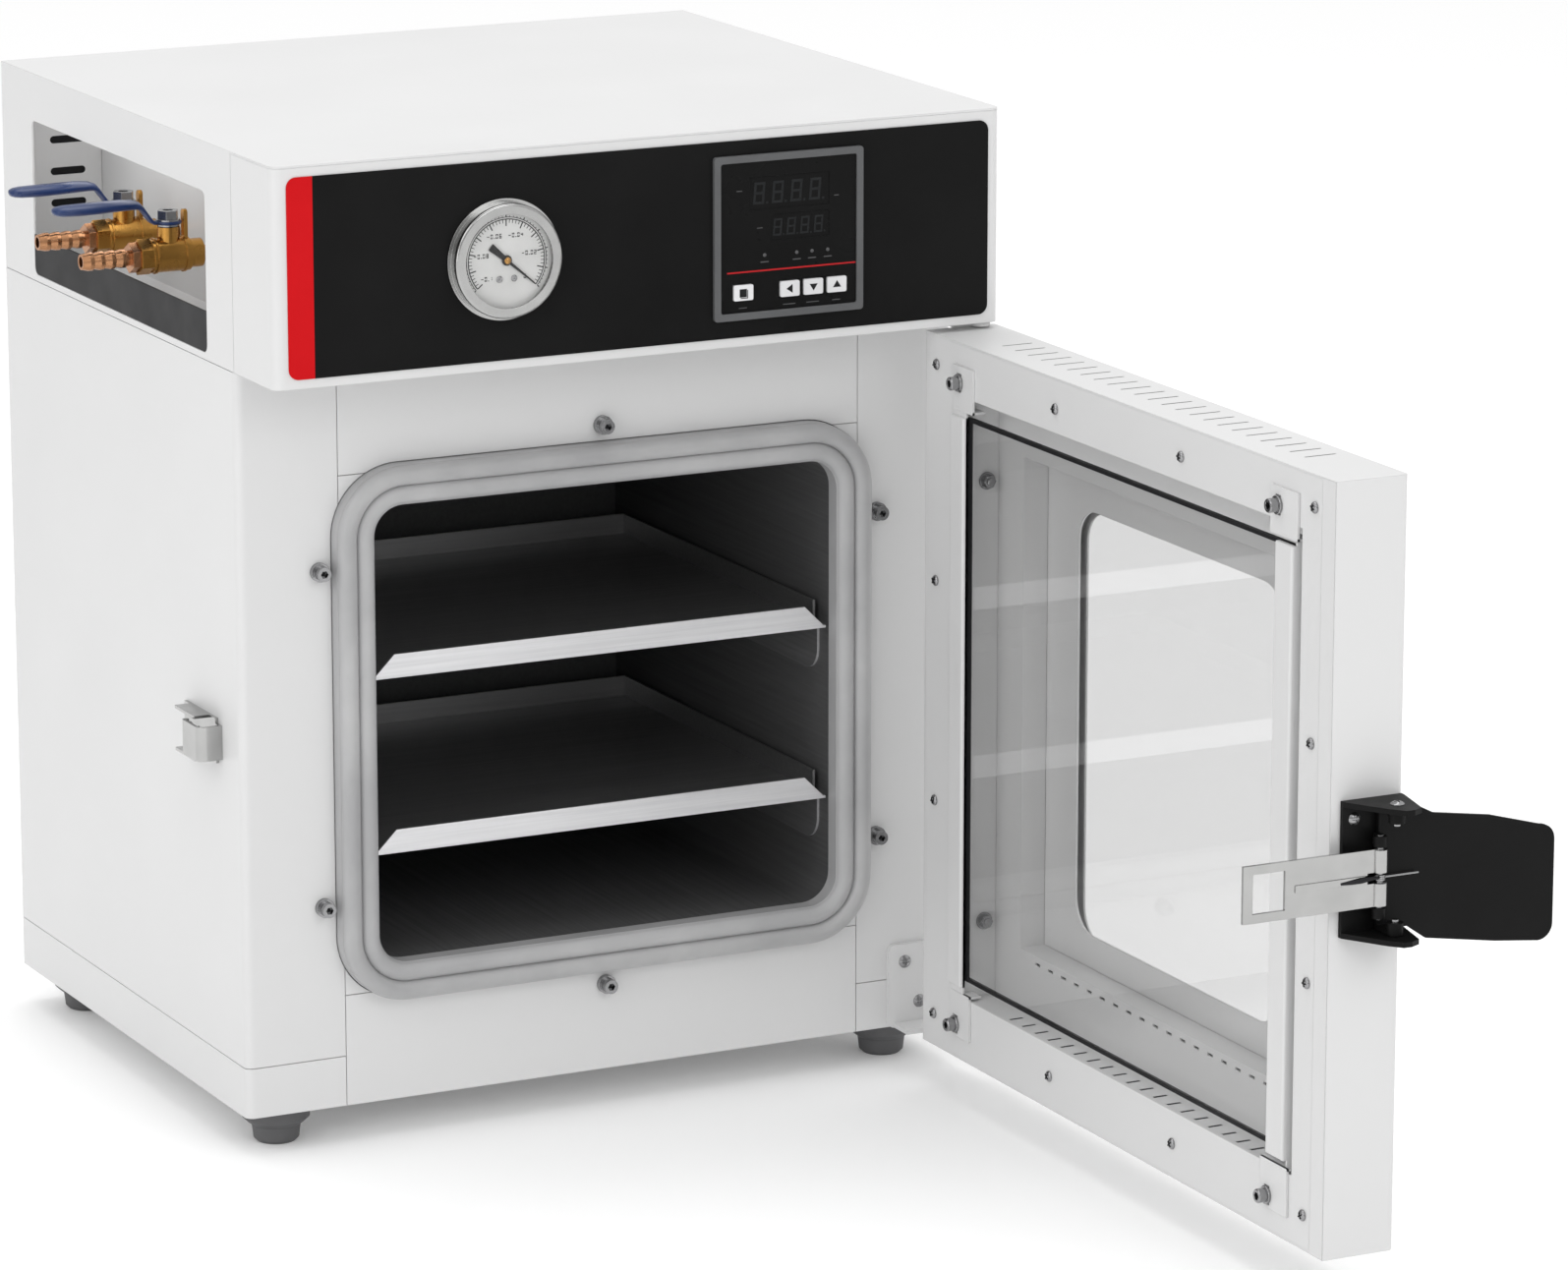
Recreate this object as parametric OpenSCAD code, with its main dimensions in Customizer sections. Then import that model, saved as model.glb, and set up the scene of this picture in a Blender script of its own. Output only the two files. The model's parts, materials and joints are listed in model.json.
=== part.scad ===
// Bench-top vacuum drying oven. The origin is on the bench, midway between the four feet.
// +X is the hinge side, -Y the front, +Z up. The door is drawn open by door_open degrees.

/* [Cabinet] */
// Width of the cabinet
body_w = 460; // [440:5:520]
// Space between the chamber's insulation and the back of the cabinet
back_space = 34.8; // [30:0.2:80]
// Height of the cabinet from its underside to the control housing
body_h = 443; // [430:1:480]
// Height of the control housing
housing_h = 127; // [122:1:150]
// How far the housing stands forward of the cabinet's front
overhang = 60; // [56:1:80]
// Thickness of the steel sheet
sheet = 1.2; // [0.8:0.1:2]
// Gap at each visible seam between two sheets
seam = 0.4; // [0.2:0.1:0.6]
// Height of the base pan's walls
pan_h = 30; // [20:1:40]
// How far the front sheets are covered by the gasket's edge
mouth_lap = 4.5; // [3:0.5:6]
// Outside radius of the cabinet's upright front corners
corner_r = 5; // [3:0.5:8]

/* [Feet] */
// Height of a rubber foot
foot_h = 24; // [18:1:30]
// Diameter of a foot's upper step
foot_d = 40; // [34:1:44]
// Diameter of a foot's lower step
foot_tip_d = 27; // [20:1:32]
// Distance of a foot's centre from the cabinet's sides
foot_inset = 30; // [26:1:44]

/* [Chamber] */
// Inside width of the chamber
chamber_w = 300; // [280:5:305]
// Inside height of the chamber
chamber_h = 275; // [260:5:285]
// Inside depth of the chamber
chamber_d = 300; // [260:5:305]
// Inside radius of the chamber's long corners
chamber_r = 20; // [16:1:26]
// Thickness of the chamber wall
chamber_t = 4; // [3:0.5:6]
// Height of the chamber's centre above the cabinet's middle
chamber_rise = 0.5; // [-3:0.5:4]
// Width of the flange round the chamber's mouth
flange_w = 32; // [30:1:36]
// Width of the gasket's band
gasket_w = 23; // [18:1:25]
// How far the gasket stands forward of the cabinet's front
gasket_proud = 14.8; // [12:0.1:15]
// Thickness of the insulation
insulation_t = 26; // [15:1:30]
// Thickness of a heater pad
heater_t = 2; // [1:0.5:3]

/* [Shelves] */
// Height of the lower shelf's tray above the chamber floor
shelf_low_z = 64; // [50:1:80]
// Distance between the two shelves
shelf_pitch = 105; // [90:1:120]
// Thickness of the shelf sheet
shelf_t = 1.5; // [1:0.1:2]
// Height of the shelf's upturned lips
shelf_lip = 14; // [8:1:18]
// Space behind a shelf
shelf_back = 20; // [14:2:60]
// Gap between a shelf and the chamber wall beside it
shelf_gap = 3; // [2:0.5:6]
// Width of a shelf rail
rail_w = 14; // [10:1:20]

/* [Door] */
// How far the door's free edge stands past the cabinet's side
door_over = 8; // [0:1:20]
// Clearance above and below the door
door_clear = 4.5; // [4.5:0.5:10]
// Thickness of the door
door_t = 45; // [40:1:45]
// Gap between the cabinet's front and the door's inner face when shut
door_gap = 15; // [15:0.5:18]
// Angle at which the door is drawn
door_open = 90; // [0:5:110]
// Width of the door's inner border at its two sides
border_side = 50; // [46:1:54]
// Height of the door's inner border above and below the glass
border_end = 44; // [42:1:50]
// Gap between the inner glass and the border above and below it
glass_gap = 8; // [4:1:12]
// Depth of the door's inner step behind its inner face
step_depth = 22; // [18:1:26]
// Width of the door's inner step
step_w = 31; // [24:1:36]
// Thickness of the inner glass
glass_t = 10; // [8:1:12]
// Depth of the inner glass behind the door's inner face
glass_sink = 0.5; // [0.4:0.1:1.5]
// Width of the window in the outer skin
window_w = 232; // [200:4:280]
// Height of the window in the outer skin
window_h = 257; // [200:5:280]
// Radius of the window's corners
window_r = 20; // [10:1:30]
// Thickness of the outer window glass
outer_glass_t = 4; // [3:0.5:5]
// Length of a cooling slot in the door's edge
slot_l = 20; // [10:1:24]
// Width of a cooling slot
slot_w = 1.6; // [1:0.1:3]
// Pitch of the cooling slots
slot_pitch = 15.6; // [14:0.1:20]

/* [Hinge] */
// Distance of the hinge pins from the door's hinge edge
pin_edge = 5; // [5:0.5:8]
// Distance of the hinge pins from the door's outer face
pin_face = 9; // [9:0.5:11]
// Radius of a hinge pin
pin_r = 2.5; // [2:0.25:3]
// Thickness of the hinge plates
hinge_t = 3; // [2:0.1:3.4]
// Running clearance of a pin in its bush
running = 0.05; // [0.02:0.01:0.08]

/* [Latch] */
// Height of the latch base
latch_h = 76; // [76:1:90]
// Height of the latch's centre above the chamber's centre
latch_rise = 3.5; // [-10:0.5:10]
// Distance of the lever pivot from the door's free edge
lever_out = 19; // [18:0.5:24]
// Distance of the lever pivot from the door's inner face
lever_in = 30; // [26:0.5:32]
// Length of the lever from its pivot
lever_l = 108; // [96:1:120]
// Distance from the lever pivot to the hasp pivot, across the edge
crank_out = 7; // [6:0.1:8]
// Distance from the lever pivot to the hasp pivot, towards the catch
crank_in = 6; // [5:0.1:8]
// Length of the hasp from its pivot
hasp_l = 85; // [76:1:92]
// Height of the hasp
hasp_h = 32; // [28:1:32]
// Thickness of the hasp
hasp_t = 2; // [1.5:0.1:2.5]
// Radius of the lever pins and the hasp pin
latch_pin_r = 2; // [1.5:0.1:2.5]
// Thickness of the catch's sheet
catch_t = 1.8; // [1.4:0.1:2.4]
// How far the catch stands off the cabinet's side
catch_out = 15; // [12:0.5:16]
// Distance of the catch behind the cabinet's front
catch_y = 28; // [24:1:40]

/* [Control housing] */
// Length of the valve recess opening
recess_l = 276; // [250:2:290]
// Height of the valve recess opening
recess_h = 94; // [88:1:100]
// Depth of the valve recess
recess_d = 60; // [60:1:80]
// Distance of the recess opening behind the cabinet's front
recess_y = 40; // [30:1:60]
// Height of the dark strip across the foot of the recess
strip_h = 24.5; // [18:0.5:25]
// Length of the valve bodies, end to end
valve_l = 40; // [36:1:44]
// Distance between the two valves
valve_pitch = 71; // [64:1:80]
// Distance of the front valve behind the cabinet's front
valve_y = 160; // [130:2:170]
// Distance of the valve stems inside the cabinet's side
stem_x = 25; // [22:1:28]
// Length of a hose barb
barb_l = 35; // [26:1:38]
// Largest radius of a hose barb
barb_r = 5.5; // [4.5:0.1:6]
// Length of a valve lever from its stem
valve_lever_l = 72; // [60:1:80]
// Width of the controller's frame
controller_s = 96; // [72:1:96]
// Depth of the controller's case
controller_d = 78; // [60:1:100]
// Distance of the controller's centre from the cabinet's centre plane
controller_x = 90.5; // [84:0.5:100]
// Radius of the gauge's bezel
gauge_r = 35; // [30:0.5:38]
// Distance of the gauge's centre from the cabinet's centre plane
gauge_x = -89.5; // [-100:0.5:-80]
// How far the gauge's bezel stands forward of the overlay
gauge_out = 9; // [6:0.5:12]
// Height of the fascia overlay
overlay_h = 115; // [106:1:118]
// Travel of a controller button
button_travel = 0.8; // [0.4:0.1:1.2]

/* [Hidden] */
$fn = 48;
eps = 0.01;
seat = 0.3;                                // gap left where one body runs close to another
lap = 0.05;                                // gap between two sheets of one body lying face to face

body_d = sheet + chamber_t + chamber_d + insulation_t + back_space;
chamber_z = body_h / 2 + chamber_rise;
shelf_d = chamber_d - shelf_back;
door_w = body_w + door_over;
door_h = body_h - 2 * door_clear;

x_left = -body_w / 2;
x_right = body_w / 2;
y_front = -body_d / 2;
y_back = body_d / 2;
z_under = foot_h;                          // underside of the cabinet
z_house = z_under + body_h;                // underside of the control housing
z_top = z_house + housing_h;
y_fascia = y_front - overhang;             // front face of the fascia
zc = z_under + chamber_z;                  // centre of chamber, gasket and door

gasket_hw = chamber_w / 2 - 1 + gasket_w;  // half width and half height over the gasket
gasket_hh = chamber_h / 2 - 1 + gasket_w;
gasket_ri = chamber_r - 2;
stile_w = body_w / 2 - gasket_hw + mouth_lap;
low_plate_h = chamber_z - gasket_hh + mouth_lap;
top_plate_h = body_h - chamber_z - gasket_hh + mouth_lap;
flange_y = y_front + sheet;                // front face of the chamber's flange
clamp_x = gasket_hw + 8;
clamp_z = gasket_hh + 10;
clamp_side_z = gasket_hh - 59.5;

door_x1 = x_right;                         // hinge edge of the shut door
door_x0 = x_right - door_w;                // free edge of the shut door
door_yi = y_front - door_gap;              // inner face
door_yo = door_yi - door_t;                // outer face
door_z0 = zc - door_h / 2;
door_z1 = zc + door_h / 2;
hinge_x = door_x1 - pin_edge;
hinge_y = door_yo + pin_face;

lever_x = door_x0 - lever_out;
lever_y = door_yi - lever_in;
hasp_x = lever_x + crank_out;
hasp_y = lever_y + crank_in;
latch_zc = zc + latch_rise;
hasp_zc = latch_zc - 3.5;

// ---- shapes used by several pieces ----

// A box from its lowest to its highest corner.
module box(a, b) {
    translate(a) cube([b[0] - a[0], b[1] - a[1], b[2] - a[2]]);
}

// A flat rectangle with round corners, centred.
module round_rect(w, h, r) {
    square([w - 2 * r, h], center = true);
    square([w, h - 2 * r], center = true);
    for (sx = [-1, 1], sz = [-1, 1]) translate([sx * (w / 2 - r), sz * (h / 2 - r)]) circle(r);
}

// Stands a flat outline up in the XZ plane and gives it a thickness backwards from y.
module upright(y, t) {
    translate([0, y + t, 0]) rotate([90, 0, 0]) linear_extrude(t) children();
}

// A plate with round corners, standing in the XZ plane.
module round_plate(cx, cz, w, h, r, y, t) {
    translate([cx, 0, cz]) upright(y, t) round_rect(w, h, r);
}

// A slot with round ends, centred and lying along X.
module slot(l, w) {
    square([l - w, w], center = true);
    for (s = [-1, 1]) translate([s * (l - w) / 2, 0]) circle(w / 2);
}

// A cylinder from one height to another at a place.
module rod(x, y, z0, z1, r) {
    translate([x, y, z0]) cylinder(r = r, h = z1 - z0);
}

// A cylinder along Y.
module rod_y(x, z, y0, y1, r) {
    translate([x, y1, z]) rotate([90, 0, 0]) cylinder(r = r, h = y1 - y0);
}

// A cylinder along X.
module rod_x(y, z, x0, x1, r) {
    translate([x0, y, z]) rotate([0, 90, 0]) cylinder(r = r, h = x1 - x0);
}

// A socket-head cap screw standing on a face at y, its head forward, with a collar under it.
module cap_screw(x, z, y, head_r, head_l, collar_r, collar_l, shank_l) {
    difference() {
        union() {
            rod_y(x, z, y - collar_l - head_l, y - collar_l, head_r);
            rod_y(x, z, y - collar_l, y, collar_r);
            rod_y(x, z, y, y + shank_l, head_r * 0.55);
        }
        translate([x, y - collar_l - head_l + head_l * 0.6, z]) rotate([90, 0, 0])
            cylinder(r = head_r * 0.55, h = head_l, $fn = 6);
    }
}

// A pan-head screw standing on a face at y, its head forward.
module pan_screw(x, z, y, r, shank_l) {
    difference() {
        union() {
            translate([x, y, z]) rotate([90, 0, 0]) rotate_extrude()
                intersection() {
                    translate([0, -r * 0.9]) circle(r * 1.4);
                    square([r, r]);
                }
            rod_y(x, z, y - eps, y + shank_l, r * 0.5);
        }
        for (a = [0, 90]) translate([x, y - r * 0.55, z]) rotate([0, a, 0])
            cube([r * 1.1, r * 0.5, r * 0.25], center = true);
    }
}

// The plan of a sheet bent round the cabinet's left front corner: side wall, stile and rear return.
module casing_plan() {
    difference() {
        union() {
            translate([x_left, y_front + corner_r]) square([sheet, body_d - corner_r]);
            translate([x_left + corner_r, y_front]) square([stile_w - corner_r, sheet]);
            intersection() {
                translate([x_left + corner_r, y_front + corner_r]) circle(corner_r);
                translate([x_left, y_front]) square(corner_r);
            }
            translate([x_left, y_back - 2 * sheet - lap]) square([14, sheet]);
        }
        intersection() {
            translate([x_left + corner_r, y_front + corner_r]) circle(corner_r - sheet);
            translate([x_left, y_front]) square(corner_r + eps);
        }
    }
}

// ---- cabinet ----

// The opening left in the front sheets for the gasket.
module gasket_cut() {
    round_plate(0, zc, 2 * gasket_hw + 1, 2 * gasket_hh + 1, gasket_ri + gasket_w + 0.5, y_front - eps,
        sheet + 2 * eps);
}

// Clearance holes for the six screws that clamp the chamber's flange.
module clamp_holes() {
    for (p = clamp_points()) rod_y(p[0], p[1], y_front - 1, flange_y + chamber_t + 1,
        clamp_r * 0.55 + running);
}

module casing() {
    difference() {
        translate([0, 0, z_under + pan_h + seam]) linear_extrude(body_h - pan_h - 2 * seam)
            casing_plan();
        gasket_cut();
        clamp_holes();
    }
}

module left_casing() {
    color("whitesmoke") casing();
}

module right_casing() {
    color("whitesmoke") mirror([1, 0, 0]) casing();
}

// Holes for the feet's screws.
module at_feet() {
    for (sx = [-1, 1], sy = [-1, 1])
        translate([sx * (body_w / 2 - foot_inset), sy * (body_d / 2 - foot_inset), 0]) children();
}

// A pan with the casing's own plan, its floor inside the walls and a lap strip behind the seam.
module base_pan() {
    lap_x = x_left + sheet;
    color("whitesmoke") difference() {
        union() {
            for (s = [0, 1]) mirror([s, 0, 0]) {
                translate([0, 0, z_under]) linear_extrude(pan_h) casing_plan();
                box([lap_x - eps, y_front + 40, z_under], [lap_x + sheet + lap, y_back - 40,
                    z_under + pan_h - 1]);
                box([lap_x + lap, y_front + 40, z_under + pan_h - 1 - eps], [lap_x + sheet + lap,
                    y_back - 40, z_under + pan_h + 12]);
            }
            box([lap_x - eps, y_front + corner_r, z_under], [-lap_x + eps, y_back, z_under + sheet]);
            box([x_left + corner_r, y_front + sheet - eps, z_under], [x_right - corner_r,
                y_front + corner_r + eps, z_under + sheet]);
            box([lap_x + 14, y_back - sheet, z_under], [-lap_x - 14, y_back, z_under + pan_h]);
        }
        at_feet() rod(0, 0, z_under - eps, z_under + sheet + eps, foot_screw_r + 0.2);
    }
}

// The plates above and below the mouth plate, each with a fold at its outer edge.
module front_plates() {
    x1 = body_w / 2 - stile_w - seam;
    color("whitesmoke") difference() {
        union() {
            box([-x1, y_front, z_under], [x1, y_front + sheet, z_under + low_plate_h - seam / 2]);
            box([-x1, y_front + sheet - eps, z_under + sheet + eps], [x1, y_front + 10,
                z_under + 2 * sheet]);
            box([-x1, y_front, z_house - top_plate_h + seam / 2], [x1, y_front + sheet,
                z_house - seam]);
            box([-x1, y_front + sheet - eps, z_house - seam - sheet], [x1, y_front + 10,
                z_house - seam]);
        }
        gasket_cut();
        clamp_holes();
        box([-x1 - 1, y_front + sheet - 2 * eps, z_under - 1], [x1 + 1, y_front + sheet + 1,
            z_under + sheet + eps]);
    }
}

// The plate round the gasket.
module mouth_plate() {
    z_low = z_under + low_plate_h + seam / 2;
    z_high = z_house - top_plate_h - seam / 2;
    color("whitesmoke") difference() {
        box([x_left + stile_w + seam, y_front, z_low], [x_right - stile_w - seam, y_front + sheet,
            z_high]);
        gasket_cut();
    }
}

module rear_panel() {
    vent_n = 7;
    color("gainsboro") difference() {
        box([x_left + sheet + seam, y_back - sheet, z_under + pan_h + seam],
            [x_right - sheet - seam, y_back, z_house - seam]);
        for (k = [0:vent_n - 1], sx = [-1, 1])
            translate([sx * 110, 0, z_house - 60 - k * 12]) upright(y_back - sheet - eps,
                sheet + 2 * eps) slot(90, 4);
        inlet_cut(y_back - sheet - eps, sheet + 2 * eps);
    }
}

clamp_r = 4.2;
module clamp_screws() {
    color("silver") for (p = clamp_points()) cap_screw(p[0], p[1], y_front, clamp_r, 5.6, 5.6, 3.4,
        sheet + chamber_t);
}

function clamp_points() = concat([[0, zc + clamp_z], [0, zc - clamp_z]],
    [for (sx = [-1, 1], sz = [-1, 1]) [sx * clamp_x, zc + sz * clamp_side_z]]);

module chamber() {
    w = chamber_w + 2 * chamber_t;
    h = chamber_h + 2 * chamber_t;
    color("dimgray") difference() {
        union() {
            round_plate(0, zc, chamber_w + 2 * flange_w + 2 * chamber_t,
                chamber_h + 2 * flange_w + 2 * chamber_t,
                chamber_r + flange_w, flange_y + eps, chamber_t);
            round_plate(0, zc, w, h, chamber_r + chamber_t, flange_y + eps, chamber_d + chamber_t);
        }
        round_plate(0, zc, chamber_w, chamber_h, chamber_r, flange_y - 1, chamber_d + 1);
        clamp_holes();
        for (p = chamber_ports()) rod(p[0], p[1], zc + chamber_h / 2 - 1, zc + h / 2 + 1,
            pipe_r + running);
        rod_y(probe_x, probe_z, flange_y + chamber_d - 1, flange_y + chamber_d + chamber_t + 1,
            3 + running);
    }
}

// The gasket's section: a flat foot, two round ribs with a groove between them, and a thin inner lip.
module gasket_section() {
    proud = gasket_proud + sheet;
    rib = gasket_w * 0.25;
    union() {
        square([gasket_w, proud - rib]);
        translate([gasket_w - rib - 0.2, proud - rib]) circle(rib);
        translate([rib + 0.2, proud - rib - 1]) circle(rib);
    }
}

// Sweeps a section round the gasket's path: four straights and four quarter turns.
module gasket() {
    sx = gasket_hw - gasket_w - gasket_ri;
    sz = gasket_hh - gasket_w - gasket_ri;
    color("darkgray") translate([0, flange_y, zc]) rotate([90, 0, 0]) for (k = [0:3])
        rotate([0, 0, 90 * k]) {
        a = k % 2 == 0 ? sx : sz;
        b = k % 2 == 0 ? sz : sx;
        translate([a, b, 0]) rotate_extrude(angle = 90) translate([gasket_ri, 0]) gasket_section();
        translate([a + gasket_ri, b, 0]) rotate([90, 0, 0]) linear_extrude(2 * b) gasket_section();
    }
}

module insulation() {
    w = chamber_w + 2 * chamber_t + 2 * heater_t + 2 * lap;
    h = chamber_h + 2 * chamber_t + 2 * heater_t + 2 * lap;
    front = flange_y + chamber_t + lap;
    back = flange_y + chamber_d + chamber_t + lap;
    color("khaki") difference() {
        round_plate(0, zc, w + 2 * insulation_t, h + 2 * insulation_t, chamber_r + insulation_t, front,
            back + insulation_t - front);
        round_plate(0, zc, w, h, chamber_r + chamber_t, front - 1, back + 1 - front);
        for (p = chamber_ports()) rod(p[0], p[1], zc, zc + h, pipe_r + 1);
        rod_y(probe_x, probe_z, back - 1, back + insulation_t + 1, 4);
    }
}

// Flat heater pads on the chamber's sides, floor and roof.
module heater_pads() {
    hw = chamber_w / 2 + chamber_t;
    hh = chamber_h / 2 + chamber_t;
    y0 = flange_y + 40;
    y1 = y0 + chamber_d * 0.75;
    color("chocolate") union() {
        for (s = [-1, 1]) {
            box([s * hw + (s < 0 ? -heater_t : 0), y0, zc - chamber_h * 0.35],
                [s * hw + (s < 0 ? 0 : heater_t), y1, zc + chamber_h * 0.35]);
        }
        box([-chamber_w * 0.35, y0, zc - hh - heater_t], [chamber_w * 0.35, y1, zc - hh]);
        box([-60, y0 + 60, zc + hh], [chamber_w * 0.35, y1, zc + hh + heater_t]);
    }
}

probe_x = 90;
probe_z = zc + 90;
module temperature_probe() {
    y = flange_y + chamber_d;
    color("silver") union() {
        rod_y(probe_x, probe_z, y - 40, y + chamber_t + insulation_t + 4, 3);
        translate([probe_x, y - 40 + eps, probe_z]) rotate([90, 0, 0])
            cylinder(r1 = 3, r2 = 1.5, h = 3);
    }
}

// ---- shelves and their rails ----

shelf_w = chamber_w - 2 * shelf_gap;
floor_z = zc - chamber_h / 2;
shelf_y0 = y_front + 1;                    // front edge of a shelf

// A rail: an angle on the chamber wall whose front lower corner is rounded.
module rail(z) {
    wall_h = 30;
    y0 = flange_y + 14;
    l = chamber_d - 34;
    union() {
        box([-chamber_w / 2, y0, z - shelf_t], [-chamber_w / 2 + rail_w, y0 + l, z]);
        translate([-chamber_w / 2, y0, z - wall_h]) rotate([90, 0, 90]) linear_extrude(shelf_t)
            union() {
            translate([wall_h / 2, 0]) square([l - wall_h / 2, wall_h]);
            translate([0, wall_h / 2]) square([wall_h, wall_h / 2]);
            translate([wall_h / 2, wall_h / 2]) circle(wall_h / 2);
        }
    }
}

module shelf_rails() {
    color("gray") for (k = [0, 1], s = [0, 1]) mirror([s, 0, 0])
        rail(floor_z + shelf_low_z + k * shelf_pitch);
}

// A tray: flat sheet, side and back lips, and a wide front lip whose ends are cut on the slant.
module shelf(z) {
    w = shelf_w / 2;
    y1 = shelf_y0 + shelf_d;
    z1 = z + seat;
    color("lightgray") union() {
        box([-w, shelf_y0, z1], [w, y1, z1 + shelf_t]);
        for (s = [-1, 1])
            box([s * w + (s < 0 ? 0 : -shelf_t), shelf_y0 + shelf_lip, z1 + shelf_t - eps],
                [s * w + (s < 0 ? shelf_t : 0), y1, z1 + shelf_lip]);
        box([-w, y1 - shelf_t, z1 + shelf_t - eps], [w, y1, z1 + shelf_lip]);
        translate([0, 0, z1]) upright(shelf_y0, shelf_t)
            polygon([[-w, 0], [w, 0], [w - shelf_lip, shelf_lip], [-w + shelf_lip, shelf_lip]]);
    }
}

module lower_shelf() {
    shelf(floor_z + shelf_low_z);
}

module upper_shelf() {
    shelf(floor_z + shelf_low_z + shelf_pitch);
}

// ---- feet ----

foot_screw_r = 3;
module feet() {
    color("dimgray") at_feet() difference() {
        rotate_extrude() polygon([[0, 0], [foot_tip_d / 2 - 2, 0], [foot_tip_d / 2, 2],
            [foot_tip_d / 2 + 1, foot_h * 0.42],
            [foot_d / 2 - 3, foot_h * 0.5], [foot_d / 2, foot_h * 0.62], [foot_d / 2, foot_h - eps],
                [0, foot_h - eps]]);
        rod(0, 0, -eps, foot_h * 0.3, 6);
        rod(0, 0, 0, foot_h + 1, foot_screw_r + 0.2);
    }
}

// ---- control housing ----

recess_y0 = y_front + recess_y;
recess_y1 = recess_y0 + recess_l;
recess_z0 = z_house + 4;
recess_z1 = recess_z0 + recess_h;
tray_y1 = y_back - 12;

// The floor carries two flanges that reach down inside the casing.
module housing_floor() {
    x0 = x_left + sheet + lap;
    color("gainsboro") difference() {
        union() {
            box([x0, y_front + sheet + seam, z_house], [-x0, y_back - 2 * sheet, z_house + sheet]);
            for (s = [0, 1]) mirror([s, 0, 0])
                box([x0, y_front + 20, z_house - 14], [x0 + sheet, y_back - 20, z_house + eps]);
        }
        for (p = chamber_ports()) rod(p[0], p[1], z_house - 1, z_house + sheet + 1, pipe_r + 1);
    }
}

module housing_cover() {
    h = housing_h;
    front_r = 6;
    color("whitesmoke") difference() {
        union() {
            translate([0, 0, z_top - sheet]) linear_extrude(sheet) union() {
                translate([x_left, y_fascia + front_r]) square([body_w, body_d + overhang - front_r]);
                translate([x_left + front_r, y_fascia]) square([body_w - 2 * front_r, front_r + eps]);
                for (s = [-1, 1]) translate([s * (body_w / 2 - front_r), y_fascia + front_r])
                    circle(front_r);
            }
            for (s = [-1, 1])
                box([s < 0 ? x_left : x_right - sheet, y_front + seam, z_house],
                    [s < 0 ? x_left + sheet : x_right, y_back, z_top - sheet + eps]);
        }
        translate([0, (recess_y0 + recess_y1) / 2, (recess_z0 + recess_z1) / 2]) rotate([90, 0, 90])
            translate([0, 0, x_left - 1]) linear_extrude(sheet + 2) round_rect(recess_l, recess_h, 5);
    }
}

module housing_rear() {
    color("gainsboro") difference() {
        box([x_left + sheet + lap, y_back - sheet, z_house], [x_right - sheet - lap, y_back,
            z_top - sheet - lap]);
        for (k = [0:4], sx = [-1, 1])
            translate([sx * 70, 0, z_house + 35 + k * 14]) upright(y_back - sheet - eps,
                sheet + 2 * eps) slot(80, 4);
    }
}

// The fascia: a folded front with side wings and an underside, round at its upright corners.
module fascia() {
    r = 6;
    top = z_top - sheet - lap;
    color("whitesmoke") difference() {
        union() {
            translate([0, 0, z_house]) linear_extrude(top - z_house) difference() {
                union() {
                    translate([x_left, y_fascia + r]) square([body_w, overhang - r]);
                    translate([x_left + r, y_fascia]) square([body_w - 2 * r, r + eps]);
                    for (s = [-1, 1]) translate([s * (body_w / 2 - r), y_fascia + r]) circle(r);
                }
                translate([x_left + sheet, y_fascia + r]) square([body_w - 2 * sheet, overhang]);
                translate([x_left + r, y_fascia + sheet]) square([body_w - 2 * r, r]);
                for (s = [-1, 1]) translate([s * (body_w / 2 - r), y_fascia + r]) circle(r - sheet);
            }
            translate([0, 0, z_house]) linear_extrude(sheet) union() {
                translate([x_left, y_fascia + r]) square([body_w, overhang - r]);
                translate([x_left + r, y_fascia]) square([body_w - 2 * r, r + eps]);
                for (s = [-1, 1]) translate([s * (body_w / 2 - r), y_fascia + r]) circle(r);
            }
        }
        rod_y(gauge_x, panel_z, y_fascia - 1, y_fascia + sheet + 1, gauge_r - 5);
        box([controller_x - controller_s / 2 + 3, y_fascia - 1, panel_z - controller_s / 2 + 3],
            [controller_x + controller_s / 2 - 3, y_fascia + sheet + 1,
                panel_z + controller_s / 2 - 3]);
    }
}

panel_z = z_house + housing_h / 2 + 0.5;   // centre line of gauge, controller and overlay
overlay_t = 0.8;

module fascia_overlay() {
    edge = 8.5;
    color("black") difference() {
        round_plate(0, panel_z - 1, body_w - 2 * edge, overlay_h, 6, y_fascia - overlay_t,
            overlay_t - eps);
        rod_y(gauge_x, panel_z, y_fascia - overlay_t - 1, y_fascia + 1, gauge_r - 5);
        box([controller_x - controller_s / 2 + 3, y_fascia - overlay_t - 1,
            panel_z - controller_s / 2 + 3],
            [controller_x + controller_s / 2 - 3, y_fascia + 1, panel_z + controller_s / 2 - 3]);
    }
}

// ---- gauge ----

gauge_y = y_fascia - overlay_t - eps;      // seat of the gauge's flange
dial_y = gauge_y - gauge_out + 4.6;        // front face of the dial

module gauge_case() {
    r = gauge_r - 5 - running;
    color("silver") difference() {
        union() {
            rod_y(gauge_x, panel_z, dial_y + 1, gauge_y + 24, r);
            rod_y(gauge_x, panel_z, gauge_y + 24 - eps, gauge_y + 30, 9);
        }
        rod_y(gauge_x, panel_z, dial_y, gauge_y + 8, 1.5 + running);
        rod_y(gauge_x, panel_z, gauge_y + 10, gauge_y + 40, pipe_r + running);
    }
}

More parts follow.
